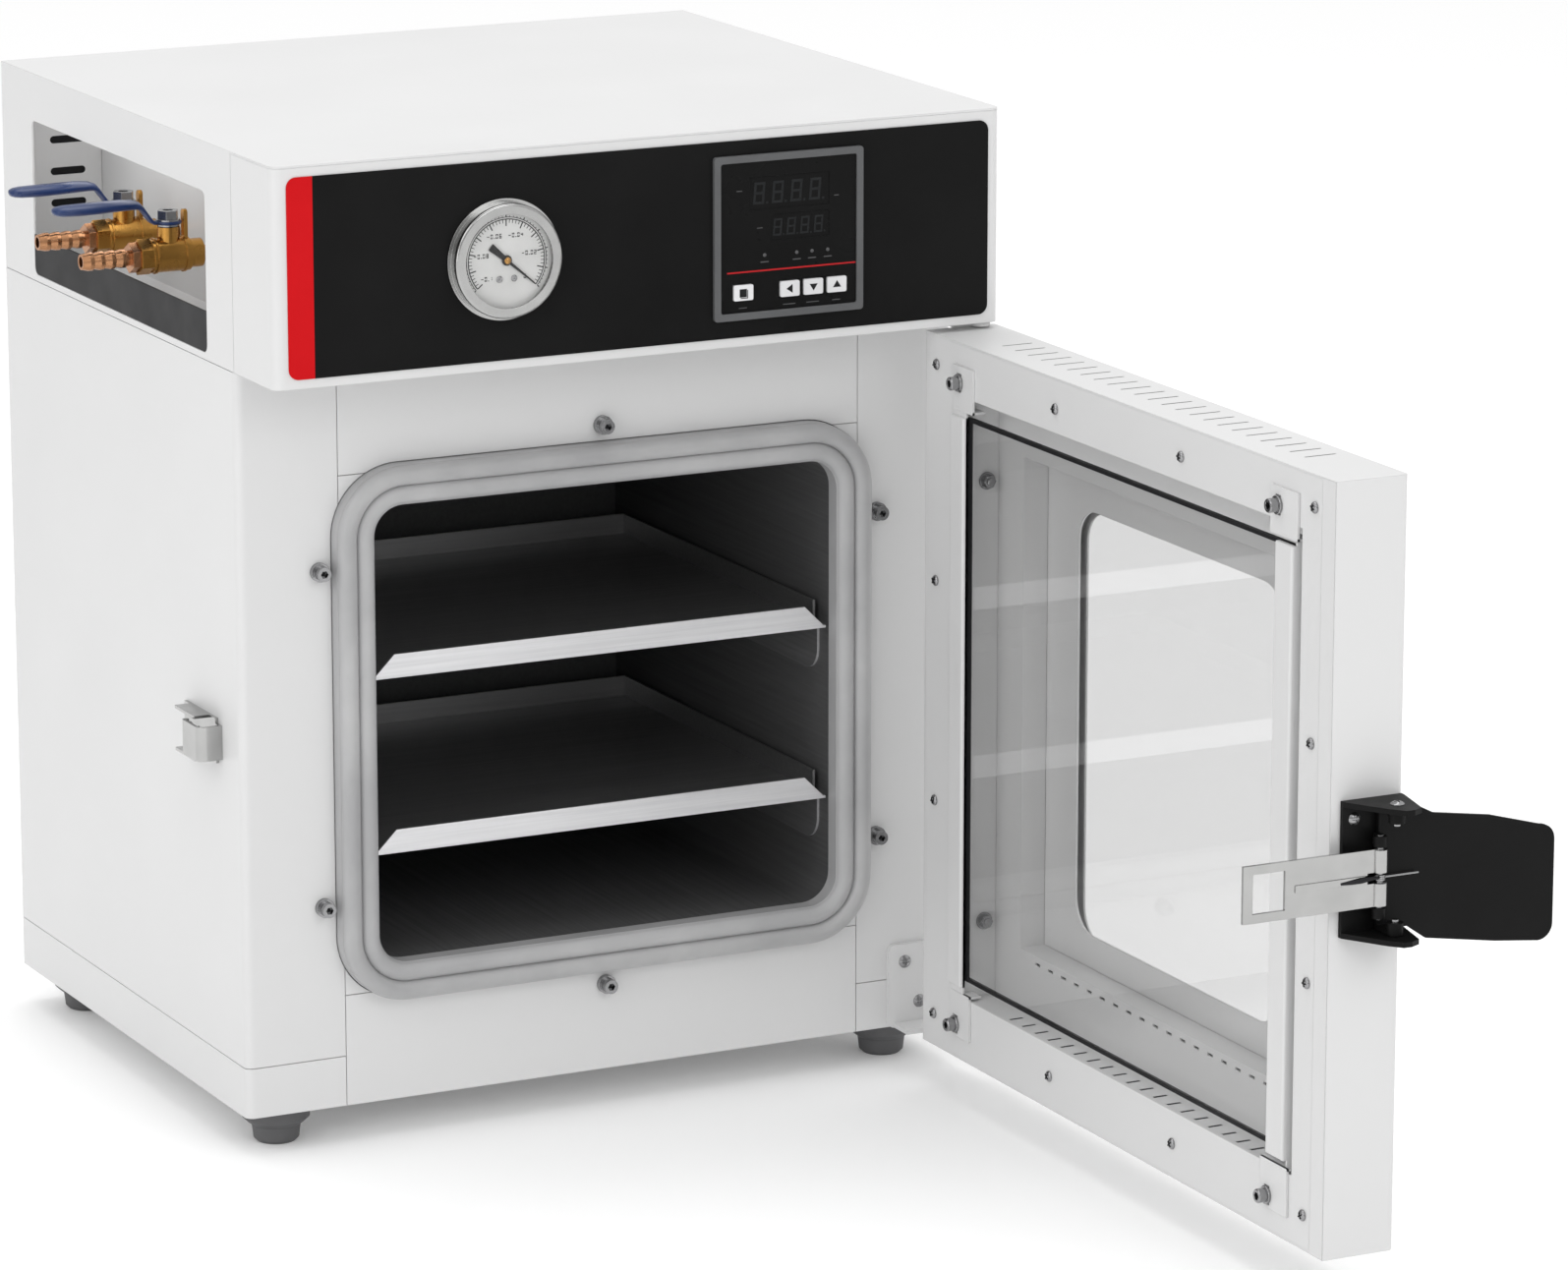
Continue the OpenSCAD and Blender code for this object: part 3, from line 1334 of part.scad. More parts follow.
hub_r = 4.6;                               // radius of the pivot bosses
web_x = lever_x + 12;                      // face of the lever's web that looks away from the door
web_t = 2.4;
web_y1 = 4;                                // how far the web reaches past the pivot
lug_t = 6;
lug_z = [hasp_zc - hasp_h / 2 - 1 - lug_t, hasp_zc + hasp_h / 2 + 1];
lever_z = [latch_zc - latch_h / 2 + latch_t + seat, latch_zc + latch_h / 2 - latch_t - seat];
paddle_z = [latch_zc - 53.6, latch_zc + 12];   // lower and upper edge of the paddle at its end
paddle_r = 9;

// The lever: a web that spreads into a paddle, an arm with a boss at each end of the pivot, and two lugs
// for the hasp's pin, so that the hasp can fold past the pivot.
module latch_lever() {
    color("black") on_door() difference() {
        union() {
            translate([web_x, 0, 0]) rotate([90, 0, 90]) linear_extrude(web_t) paddle_side();
            for (k = [0, 1]) {
                z_arm = lever_z[k] - k * latch_t;
                rod(lever_x, lever_y, lever_z[k] - k * boss_l, lever_z[k] + (1 - k) * boss_l, hub_r);
                translate([lever_x, lever_y, z_arm]) linear_extrude(latch_t)
                    polygon([[0, -hub_r], [web_x + web_t - lever_x, -8], [web_x + web_t - lever_x,
                        web_y1], [0, hub_r]]);
            }
            for (z = lug_z) translate([0, 0, z]) linear_extrude(lug_t) union() {
                translate([hasp_x, hasp_y]) circle(3.6);
                translate([hasp_x, hasp_y - 3.4]) square([web_x + web_t - hasp_x, 3.4]);
            }
        }
        for (k = [0, 1]) rod(lever_x, lever_y, lever_z[k] - k * boss_l - 1,
            lever_z[k] + (1 - k) * boss_l + 1,
            latch_pin_r + running);
        for (z = lug_z) rod(hasp_x, hasp_y, z - 1, z + lug_t + 1, latch_pin_r + running);
    }
}

// The web seen from the side: as high as the bosses at the pivot, narrowing to a round-cornered paddle.
module paddle_side() {
    y1 = lever_y - lever_l;
    neck_y = lever_y - 15;
    z_top = lever_z[1];
    z_low = lever_z[0];
    union() {
        polygon([[lever_y + web_y1, z_low], [lever_y + web_y1, z_top], [neck_y, z_top],
            [neck_y - 16, z_top - 8.2],
            [y1 + 41.4, paddle_z[1] + paddle_r], [y1 + paddle_r, paddle_z[1]],
                [y1, paddle_z[1] - paddle_r],
            [y1, paddle_z[0] + paddle_r], [y1 + paddle_r, paddle_z[0]], [y1 + 37, paddle_z[0] + 3.3],
            [neck_y - 12, z_low - 8.3], [neck_y, z_low]]);
        for (z = [paddle_z[1] - paddle_r, paddle_z[0] + paddle_r])
            translate([y1 + paddle_r, z]) circle(paddle_r - 0.05);
    }
}

// The pin the hasp turns on, with the spring wound round it: three turns and a leg along the web.
module hasp_pin() {
    wire = 0.6;
    turn_r = latch_pin_r + running + wire;
    color("silver") on_door() union() {
        rod(hasp_x, hasp_y, lug_z[0] - 0.6, lug_z[1] + lug_t + 0.6, latch_pin_r);
        for (k = [-1, 0, 1]) translate([hasp_x, hasp_y, hasp_zc + k * wire * 1.8]) rotate_extrude()
            translate([turn_r, 0]) circle(wire);
        rod_y(hasp_x + turn_r, hasp_zc - 1.8 * wire, hasp_y - 26, hasp_y, wire);
    }
}

// The hasp: two rolled knuckles, a ribbed strap and an open loop at its end.
module latch_hasp() {
    knuckle_r = 4.2;
    gap = 6;
    y1 = hasp_y + hasp_l;
    hole_l = 20;
    end_bar = 5.8;
    hole_h = hasp_h - 10;
    z0 = hasp_zc - hasp_h / 2;
    z1 = hasp_zc + hasp_h / 2;
    x0 = hasp_x - hasp_t / 2;
    color("silver") on_door() difference() {
        union() {
            rod(hasp_x, hasp_y, z0 + 0.4, z1 - 0.4, knuckle_r);
            box([x0, hasp_y + 2, z0], [x0 + hasp_t, y1, z1]);
            box([x0 - 0.8, hasp_y + 10, hasp_zc - 2], [x0 + eps, y1 - hole_l - end_bar - 6,
                hasp_zc + 2]);
        }
        rod(hasp_x, hasp_y, z0 - 1, z1 + 1, latch_pin_r + running);
        box([hasp_x - 6, hasp_y - 6, hasp_zc - gap / 2], [hasp_x + 6, hasp_y + 8, hasp_zc + gap / 2]);
        box([x0 - 2, y1 - end_bar - hole_l, hasp_zc - hole_h / 2],
            [x0 + hasp_t + 2, y1 - end_bar, hasp_zc + hole_h / 2]);
    }
}

base_pan();
left_casing();
right_casing();
front_plates();
mouth_plate();
rear_panel();
clamp_screws();
chamber();
gasket();
insulation();
heater_pads();
temperature_probe();
shelf_rails();
housing_floor();
housing_cover();
housing_rear();
fascia();
fascia_overlay();
gauge_case();
gauge_bezel();
gauge_dial();
gauge_lens();
controller_case();
controller_bezel();
recess_tray();
recess_strip();
vacuum_pipes();
valve_bodies();
hose_barbs();
catch();
hinge_brackets();
cabinet_screws();
power_inlet();
feet();
door_shell();
door_liner();
outer_window();
inner_glass();
glass_edging();
glass_bars();
corner_bolts();
door_screws();
hinge_bushes();
latch_base();
latch_screws();
latch_lever();
hasp_pin();
latch_hasp();
gauge_needle();
button_set();
button_left();
button_down();
button_up();
upper_shelf();
lower_shelf();
front_valve_lever();
front_valve_stem();
rear_valve_lever();
rear_valve_stem();
power_rocker();
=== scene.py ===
import json
import math

import bmesh
import bpy
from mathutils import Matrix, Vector


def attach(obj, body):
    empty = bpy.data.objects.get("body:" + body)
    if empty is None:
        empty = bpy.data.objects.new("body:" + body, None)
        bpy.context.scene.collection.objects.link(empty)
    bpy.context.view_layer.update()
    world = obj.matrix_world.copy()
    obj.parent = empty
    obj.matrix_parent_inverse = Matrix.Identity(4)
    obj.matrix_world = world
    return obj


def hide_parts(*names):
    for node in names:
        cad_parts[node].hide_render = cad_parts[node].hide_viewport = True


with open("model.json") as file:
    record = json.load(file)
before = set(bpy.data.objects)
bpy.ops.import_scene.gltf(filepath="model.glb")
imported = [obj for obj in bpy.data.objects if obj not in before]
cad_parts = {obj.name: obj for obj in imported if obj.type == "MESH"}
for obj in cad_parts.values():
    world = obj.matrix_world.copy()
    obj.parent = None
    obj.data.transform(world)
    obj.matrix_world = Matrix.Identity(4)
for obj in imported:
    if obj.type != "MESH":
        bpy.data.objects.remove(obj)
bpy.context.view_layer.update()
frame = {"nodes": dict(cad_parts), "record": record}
NODE = frame["nodes"]
scene = bpy.context.scene
MM = 0.001                                 # pieces are drawn in mm; the camera and the lamps are placed in m


# ---- camera, lights and floor ----

LENS = 163.797                             # mm
SENSOR = 36                                # mm
CAMERA_PLACE = (-1.7270, -3.8697, 1.2708)
CAMERA_TURN = (76.4406, 0, -26.5938)       # degrees
SKY_LOW = 0.42                             # brightness of the surroundings near the horizon
SKY_HIGH = 0.95                            # and overhead
SKY_FADE = (-0.05, 0.55)                   # heights of the direction between which it changes
LAMPS = (                                  # name, place, target, size, power in W
    ("key", (-2.6, -1.2, 2.6), (0, 0, 0.3), (1.6, 1.6), 11.5),
    ("left", (-3.0, -1.7, 0.75), (0, 0, 0.4), (1.3, 1.0), 10),
    ("recess_bounce", (-0.2, 0.045, 0.586), (-0.2, 0.045, 0), (0.04, 0.18), 0.05),
    ("front", (0.6, -3.4, 2.0), (0, 0, 0.3), (1.8, 1.2), 16),
    ("top", (0.2, 0.2, 3.0), (0, 0, 0.3), (2.0, 2.0), 25),
)
FLOOR_SIZE = 30                            # m
FLOOR_GLOW = 0.07                          # keeps the floor as pale as the photograph's background


def camera():
    data = bpy.data.cameras.new("camera")
    data.lens = LENS
    data.sensor_width = SENSOR
    data.clip_start = 0.05
    data.clip_end = 60
    cam = bpy.data.objects.new("camera", data)
    cam.location = CAMERA_PLACE
    cam.rotation_euler = [math.radians(angle) for angle in CAMERA_TURN]
    scene.collection.objects.link(cam)
    scene.camera = cam


def area_light(name, place, target, size, power):
    data = bpy.data.lights.new(name, "AREA")
    data.shape = "RECTANGLE"
    data.size, data.size_y = size
    data.energy = power
    lamp = bpy.data.objects.new(name, data)
    lamp.location = place
    lamp.rotation_euler = (Vector(target) - Vector(place)).to_track_quat("-Z", "Y").to_euler()
    scene.collection.objects.link(lamp)


def set_range(node, *values):
    """Sets the first values of a Map Range node: From Min, From Max, To Min, To Max."""
    for key, value in zip(("From Min", "From Max", "To Min", "To Max"), values):
        node.inputs[key].default_value = value


def sky():
    """White surroundings, dimmer near the horizon than overhead."""
    world = bpy.data.worlds.new("studio")
    world.use_nodes = True
    nodes, links = world.node_tree.nodes, world.node_tree.links
    back = nodes["Background"]
    direction = nodes.new("ShaderNodeTexCoord")
    split = nodes.new("ShaderNodeSeparateXYZ")
    fade = nodes.new("ShaderNodeMapRange")
    fade.interpolation_type = "SMOOTHSTEP"
    set_range(fade, *SKY_FADE, SKY_LOW, SKY_HIGH)
    links.new(direction.outputs["Generated"], split.inputs[0])
    links.new(split.outputs[2], fade.inputs["Value"])
    links.new(fade.outputs[0], back.inputs["Strength"])
    back.inputs["Color"].default_value = (1.0, 1.0, 1.0, 1)
    scene.world = world


def studio():
    sky()
    scene.view_settings.view_transform = "Standard"
    for lamp in LAMPS:
        area_light(*lamp)
    mesh = bpy.data.meshes.new("floor")
    bm = bmesh.new()
    bmesh.ops.create_grid(bm, x_segments=1, y_segments=1, size=FLOOR_SIZE)
    bm.to_mesh(mesh)
    bm.free()
    floor = bpy.data.objects.new("floor", mesh)
    scene.collection.objects.link(floor)
    paint = Surface("floor_pale", (0.97, 0.97, 0.97), 0.85, emission_strength=FLOOR_GLOW)
    paint.set("Emission Color", (1, 1, 1, 1))
    floor.data.materials.append(paint.material)


# ---- materials ----

MIX_FACTOR, MIX_A, MIX_B, MIX_COLOUR = 0, 6, 7, 2    # a Mix node's sockets for colours
MIDDLE = (0.3, 0.7)                        # the part of a noise that is spread over the whole range
ROUGH_SHIFT = (3.1, 1.7, 0.4)              # keeps the roughness noise off the colour noise
EVEN = (1, 1, 1)
ALONG, ACROSS = 6, 260                     # stretch of brushed grain
BRUSHED_X = (ALONG, ACROSS, ACROSS)
BRUSHED_Y = (ACROSS, ALONG, ACROSS)
RED_END = -0.2058                          # m, the overlay is red to the left of this
LIP_BACK = (-0.1799, -0.1796)              # m, where the trays' front lips end and the painted shade behind them begins
EDGE_HIGHLIGHT_TURN = (-0.15, -0.4)                   # a rail's normal turns to the front between these, where the painted highlight comes in
GASKET_CROWN = (-0.1945, -0.1978)          # m, from the gasket's grooves to its crowns, over which the painted light in the grooves fades


class Surface:
    """A Principled material whose colour, roughness and relief come from noise in the object's own space."""

    def __init__(self, name, colour, rough, metal=0.0, **sockets):
        self.material = bpy.data.materials.new(name)
        self.material.use_nodes = True
        self.material.diffuse_color = (*colour, 1)
        self.tree = self.material.node_tree
        self.bsdf = self.tree.nodes["Principled BSDF"]
        self.colour = colour
        self.rough = rough
        self.set("Base Color", (*colour, 1))
        self.set("Roughness", rough)
        self.set("Metallic", metal)
        for key, value in sockets.items():
            self.set(key.replace("_", " ").title().replace("Ior", "IOR"), value)
        self.coord = self.new("ShaderNodeTexCoord").outputs["Object"]

    def set(self, socket, value):
        self.bsdf.inputs[socket].default_value = value

    def new(self, kind, **values):
        node = self.tree.nodes.new(kind)
        for key, value in values.items():
            setattr(node, key, value)
        return node

    def link(self, a, b):
        self.tree.links.new(a, b)

    def paint(self, colour):
        self.link(colour, self.bsdf.inputs["Base Color"])

    def texture(self, kind, scale, stretch, shift):
        mapping = self.new("ShaderNodeMapping")
        mapping.inputs["Scale"].default_value = stretch
        mapping.inputs["Location"].default_value = shift
        self.link(self.coord, mapping.inputs["Vector"])
        tex = self.new(kind)
        tex.inputs["Scale"].default_value = scale
        self.link(mapping.outputs[0], tex.inputs["Vector"])
        return tex

    def noise(self, scale, detail=3.0, stretch=EVEN, shift=(0, 0, 0)):
        tex = self.texture("ShaderNodeTexNoise", scale, stretch, shift)
        tex.inputs["Detail"].default_value = detail
        return tex.outputs["Fac"]

    def cells(self, scale):
        return self.texture("ShaderNodeTexVoronoi", scale, EVEN, (0, 0, 0)).outputs["Distance"]

    def ramp(self, source, low, high, out_low=0.0, out_high=1.0):
        node = self.new("ShaderNodeMapRange")
        set_range(node, low, high, out_low, out_high)
        self.link(source, node.inputs["Value"])
        return node.outputs[0]

    def patches(self, scale, detail, stretch=EVEN):
        return self.ramp(self.noise(scale, detail, stretch), *MIDDLE)

    def below(self, source, limit):
        node = self.new("ShaderNodeMath", operation="LESS_THAN")
        self.link(source, node.inputs[0])
        node.inputs[1].default_value = limit
        return node.outputs[0]

    def mix(self, factor, a, b):
        node = self.new("ShaderNodeMix", data_type="RGBA")
        self.link(factor, node.inputs[MIX_FACTOR])
        for value, socket in ((a, node.inputs[MIX_A]), (b, node.inputs[MIX_B])):
            if isinstance(value, tuple):
                socket.default_value = (*value, 1)
            else:
                self.link(value, socket)
        return node.outputs[MIX_COLOUR]

    def split(self, source):
        node = self.new("ShaderNodeSeparateXYZ")
        self.link(source, node.inputs[0])
        return node.outputs

    def tint(self, amount, scale, detail=3.0, stretch=EVEN):
        """The colour drifts by amount, darker and lighter."""
        dark = tuple(c * (1 - amount) for c in self.colour)
        light = tuple(min(1.0, c * (1 + amount)) for c in self.colour)
        self.paint(self.mix(self.patches(scale, detail, stretch), dark, light))

    def vary_rough(self, amount, scale, stretch=EVEN):
        fac = self.noise(scale, 4.0, stretch, ROUGH_SHIFT)
        out = self.ramp(fac, *MIDDLE, max(0.02, self.rough - amount), min(1.0, self.rough + amount))
        self.link(out, self.bsdf.inputs["Roughness"])

    def relief(self, *layers, bevel):
        """Bump layers, each (height socket, strength, distance in mm), over edges rounded by bevel mm."""
        node = self.new("ShaderNodeBevel", samples=6)
        node.inputs["Radius"].default_value = bevel * MM
        normal = node.outputs[0]
        for height, strength, distance in layers:
            bump = self.new("ShaderNodeBump")
            bump.inputs["Strength"].default_value = strength
            bump.inputs["Distance"].default_value = distance * MM
            self.link(height, bump.inputs["Height"])
            self.link(normal, bump.inputs["Normal"])
            normal = bump.outputs[0]
        self.link(normal, self.bsdf.inputs["Normal"])


def powder(name, colour):
    """Sprayed paint with a faint orange peel."""
    s = Surface(name, colour, 0.42, coat_weight=0.08, coat_roughness=0.25)
    s.tint(0.012, 3.0)
    s.vary_rough(0.05, 12.0)
    s.relief((s.noise(900, 2.0), 0.10, 0.05), (s.noise(60, 2.0), 0.04, 0.2), bevel=0.7)
    return s.material


def sheet_metal(name, colour, rough, brushed, grain, metal=1.0):
    s = Surface(name, colour, rough, metal)
    s.tint(0.10, 2.0, 5.0, brushed)
    s.vary_rough(0.08, 1.5, brushed)
    s.relief((s.noise(1.6, 4.0, brushed), grain, 0.05), bevel=0.4)
    return s.material


def plated(name, colour, rough, bevel=0.3, wear=0.04):
    """Turned or plated metal, with roughness that changes by wear."""
    s = Surface(name, colour, rough, 1.0)
    s.tint(0.06, 60.0, 4.0)
    s.vary_rough(wear, 90.0)
    s.relief((s.noise(400, 3.0), 0.06, 0.05), bevel=bevel)
    return s.material


def moulded(name, colour, rough, grain=900, strength=0.18, bevel=0.5, **sockets):
    """Plastic, rubber or fibre with cells of the given grain in its skin."""
    s = Surface(name, colour, rough, **sockets)
    s.tint(0.10, 25.0)
    s.vary_rough(0.06, 40.0)
    s.relief((s.cells(grain), strength, 0.06), (s.noise(120, 3.0), 0.05, 0.1), bevel=bevel)
    return s.material


def printed(name, colour, rough, level):
    """Thin print or display film."""
    s = Surface(name, colour, rough, specular_ior_level=level)
    s.tint(0.08, 60.0)
    s.vary_rough(0.05, 80.0)
    s.relief((s.noise(1400, 2.0), 0.03, 0.03), bevel=0.1)
    return s.material


def pane(name, tint, haze):
    """Clear glass: what is behind shows through, and the sky and lamps show on its outward faces."""
    material = bpy.data.materials.new(name)
    material.use_nodes = True
    nodes, link = material.node_tree.nodes, material.node_tree.links.new
    nodes.remove(nodes["Principled BSDF"])

    def maths(operation, a, b):
        node = nodes.new("ShaderNodeMath")
        node.operation = operation
        for value, socket in ((a, node.inputs[0]), (b, node.inputs[1])):
            if isinstance(value, float):
                socket.default_value = value
            else:
                link(value, socket)
        return node

    clear = nodes.new("ShaderNodeBsdfTransparent")
    clear.inputs["Color"].default_value = (*tint, 1)
    gloss = nodes.new("ShaderNodeBsdfGlossy")
    gloss.inputs["Roughness"].default_value = 0.02
    fresnel = nodes.new("ShaderNodeFresnel")
    fresnel.inputs["IOR"].default_value = 1.5
    smear = nodes.new("ShaderNodeTexNoise")
    smear.inputs["Scale"].default_value = 7
    smear.inputs["Detail"].default_value = 4
    link(nodes.new("ShaderNodeTexCoord").outputs["Object"], smear.inputs["Vector"])
    span = nodes.new("ShaderNodeMapRange")
    set_range(span, 0.0, 1.0, haze * 0.8, haze * 1.2)
    link(smear.outputs["Fac"], span.inputs["Value"])
    shine = maths("ADD", fresnel.outputs[0], span.outputs[0])
    shine.use_clamp = True
    outward = maths("SUBTRACT", 1.0, nodes.new("ShaderNodeNewGeometry").outputs["Backfacing"])
    mix = nodes.new("ShaderNodeMixShader")
    link(maths("MULTIPLY", shine.outputs[0], outward.outputs[0]).outputs[0], mix.inputs[0])
    link(clear.outputs[0], mix.inputs[1])
    link(gloss.outputs[0], mix.inputs[2])
    link(mix.outputs[0], nodes["Material Output"].inputs["Surface"])
    return material


def overlay_film():
    """Black film whose left end is red."""
    s = Surface("overlay_film", (0.010, 0.010, 0.011), 0.38, specular_ior_level=0.06)
    red = s.below(s.split(s.coord)[0], RED_END)
    base = s.mix(s.patches(14.0, 3.0), (0.0070, 0.0070, 0.0070), (0.0095, 0.0095, 0.0095))
    warm = s.mix(s.patches(14.0, 3.0), (0.55, 0.006, 0.009), (0.60, 0.008, 0.012))
    s.paint(s.mix(red, base, warm))
    s.vary_rough(0.05, 30.0)
    s.relief((s.noise(1500, 2.0), 0.08, 0.03), bevel=0.2)
    return s.material


def tray_steel():
    """Brushed sheet, painted pale on its front lip as painted highlight, and painted darker behind it, where
    it mostly sees the chamber, as painted shade and painted reflection of the dark chamber.
    """
    s = Surface("shelf_steel", (0.62, 0.62, 0.63), 0.40, 0.9)
    behind = s.ramp(s.split(s.coord)[1], *LIP_BACK)
    grain = s.patches(2.0, 5.0, BRUSHED_X)
    # lit and shaded copies of the steel: painted highlight on the lip, painted shade behind it
    lit_lip = s.mix(grain, (0.68, 0.68, 0.69), (0.78, 0.78, 0.79))
    dark = s.mix(grain, (0.37, 0.37, 0.373), (0.42, 0.42, 0.423))
    s.paint(s.mix(behind, lit_lip, dark))
    s.vary_rough(0.06, 1.5, BRUSHED_X)
    s.relief((s.noise(1.6, 4.0, BRUSHED_X), 0.10, 0.05), bevel=0.4)
    return s.material


def rail_steel():
    """Sheet painted dark as painted shade, with a painted highlight on its front edge."""
    s = Surface("rail_steel", (0.09, 0.09, 0.093), 0.42, 0.4)
    edge = s.ramp(s.split(s.new("ShaderNodeNewGeometry").outputs["Normal"])[1], *EDGE_HIGHLIGHT_TURN)
    grain = s.patches(2.0, 5.0, BRUSHED_Y)
    sheet = s.mix(grain, (0.15, 0.15, 0.152), (0.19, 0.19, 0.192))
    edge_highlight = s.mix(grain, (0.42, 0.42, 0.43), (0.52, 0.52, 0.53))
    # painted highlight on faces turned to the front, painted shade on the rest of the sheet
    s.paint(s.mix(edge, sheet, edge_highlight))
    s.vary_rough(0.06, 1.5, BRUSHED_Y)
    s.relief((s.noise(1.6, 4.0, BRUSHED_Y), 0.10, 0.05), bevel=0.3)
    return s.material


def gasket_rubber():
    """Grey silicone, smeared, and painted lighter in its grooves than on its crowns, a painted light that
    offsets the shade in the grooves.
    """
    s = Surface("gasket_silicone", (0.26, 0.26, 0.265), 0.42, coat_weight=0.2, coat_roughness=0.3,
                specular_ior_level=0.4)
    groove_lift_mask = s.ramp(s.split(s.coord)[1], *GASKET_CROWN)
    smear = s.ramp(s.noise(16.0, 5.0, (1, 3, 1)), 0.35, 0.75)
    low = s.mix(smear, (0.38, 0.38, 0.385), (0.46, 0.46, 0.465))
    high = s.mix(smear, (0.33, 0.33, 0.335), (0.46, 0.46, 0.46))
    # painted light: the grooves are painted lighter than the crowns to offset their shade
    s.paint(s.mix(groove_lift_mask, low, high))
    s.vary_rough(0.08, 30.0)
    s.relief((s.noise(500, 3.0), 0.06, 0.05), (s.noise(40, 3.0), 0.15, 0.3), bevel=0.4)
    return s.material


MAT = {
    "white_powder": powder("white_powder", (0.665, 0.665, 0.665)),
    "galvanised": sheet_metal("galvanised", (0.62, 0.63, 0.64), 0.42, BRUSHED_X, 0.12),
    # chamber steel painted dark as painted shade and painted reflection of the closed chamber
    "chamber_steel": sheet_metal("chamber_steel", (0.095, 0.095, 0.096), 0.55, BRUSHED_Y, 0.05, metal=0.15),
    "rail_steel": rail_steel(),
    "shelf_steel": tray_steel(),
    "screw_steel": plated("screw_steel", (0.31, 0.31, 0.315), 0.22),
    "nickel": plated("nickel", (0.42, 0.42, 0.415), 0.19),
    "gasket_silicone": gasket_rubber(),
    "black_rubber": moulded("black_rubber", (0.008, 0.008, 0.009), 0.6, specular_ior_level=0.2),
    "foot_rubber": moulded("foot_rubber", (0.115, 0.115, 0.118), 0.6, specular_ior_level=0.3),
    "mineral_wool": moulded("mineral_wool", (0.62, 0.52, 0.28), 0.95, 300, 0.6),
    "heater": moulded("heater", (0.35, 0.10, 0.05), 0.6),
    "overlay_black": overlay_film(),
    "strip_grey": moulded("strip_grey", (0.027, 0.027, 0.028), 0.5, 1200, 0.05, specular_ior_level=0.12),
    "bezel_grey": moulded("bezel_grey", (0.10, 0.102, 0.105), 0.42, 1200, 0.10, specular_ior_level=0.3),
    "case_black": moulded("case_black", (0.0065, 0.0065, 0.0065), 0.30, 1400, 0.03,
                          specular_ior_level=0.08),
    "button_grey": moulded("button_grey", (0.72, 0.72, 0.73), 0.45, 1400, 0.05),
    "latch_black": moulded("latch_black", (0.0065, 0.0065, 0.0065), 0.42, 1100, 0.35,
                           specular_ior_level=0.10),
    "rocker_red": moulded("rocker_red", (0.55, 0.01, 0.012), 0.3, 1400, 0.04),
    "lens_glass": pane("lens_glass", (0.99, 0.99, 0.99), 0.0),
    "door_glass": pane("door_glass", (0.925, 0.925, 0.925), 0.008),
    "dial_white": moulded("dial_white", (0.64, 0.64, 0.63), 0.6, 1600, 0.03),
    "needle_black": moulded("needle_black", (0.008, 0.008, 0.008), 0.5, 1600, 0.03, specular_ior_level=0.2),
    "valve_brass": plated("valve_brass", (0.46, 0.235, 0.055), 0.27, 0.4, 0.08),
    "barb_copper": plated("barb_copper", (0.46, 0.23, 0.115), 0.28, 0.4, 0.08),
    "lever_blue": moulded("lever_blue", (0.003, 0.022, 0.105), 0.30, 500, 0.05, 0.8, coat_weight=0.08,
                          coat_roughness=0.12),
    "spring_steel": plated("spring_steel", (0.030, 0.030, 0.032), 0.35),
}


def dress_nodes():
    slots = {row["node"]: row["material_slot"] for row in frame["record"]["subparts"]}
    for name, obj in NODE.items():
        if not obj.data.materials:
            obj.data.materials.append(None)
        for k in range(len(obj.data.materials)):
            obj.data.materials[k] = MAT[slots[name]]


# ---- helpers for added pieces ----

HEX = 6                                    # marks a ring of a turned profile as a hexagon


def piece(name, bm, body, slot, material=None, smooth=False):
    mesh = bpy.data.meshes.new(name)
    bmesh.ops.recalc_face_normals(bm, faces=bm.faces)
    bm.to_mesh(mesh)
    bm.free()
    if smooth:
        for p in mesh.polygons:
            p.use_smooth = True
    obj = bpy.data.objects.new(name, mesh)
    scene.collection.objects.link(obj)
    mesh.materials.append(material or MAT[slot])
    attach(obj, body)
    return obj


def slab(bm, a, b, at):
    """A closed box between two corners."""
    v = [bm.verts.new(at(x, y, z)) for x in (a[0], b[0]) for y in (a[1], b[1]) for z in (a[2], b[2])]
    for k in ((0, 1, 3, 2), (4, 6, 7, 5), (0, 4, 5, 1), (2, 3, 7, 6), (0, 2, 6, 4), (1, 5, 7, 3)):
        bm.faces.new([v[i] for i in k])


def prism(bm, outline, at, height):
    """A closed solid over an outline of (a, b) points."""
    low = [bm.verts.new(at(a, b, 0.0)) for a, b in outline]
    top = [bm.verts.new(at(a, b, height)) for a, b in outline]
    bm.faces.new(low)
    bm.faces.new(top[::-1])
    for i in range(len(low)):
        j = (i + 1) % len(low)
        bm.faces.new((low[i], top[i], top[j], low[j]))


def lattice(bm, us, vs, keep, place, t):
    """A sheet over the grid cells that keep(i, j) names, as a closed solid of thickness t."""
    verts = {}
    n, m = len(us) - 1, len(vs) - 1

    def vert(i, j, k):
        if (i, j, k) not in verts:
            verts[i, j, k] = bm.verts.new(place(us[i], vs[j], k * t))
        return verts[i, j, k]

    def on(i, j):
        return 0 <= i < n and 0 <= j < m and keep(i, j)

    for i in range(n):
        for j in range(m):
            if not on(i, j):
                continue
            ring = [(i, j), (i + 1, j), (i + 1, j + 1), (i, j + 1)]
            bm.faces.new([vert(*p, 0) for p in ring])
            bm.faces.new([vert(*p, 1) for p in reversed(ring)])
            for k, near in enumerate(((i, j - 1), (i + 1, j), (i, j + 1), (i - 1, j))):
                if not on(*near):
                    p, q = ring[k], ring[(k + 1) % 4]
                    bm.faces.new((vert(*p, 0), vert(*q, 0), vert(*q, 1), vert(*p, 1)))


def round_middle(i, j):
    """Keeps every cell of a three by three lattice but the middle one."""
    return (i, j) != (1, 1)


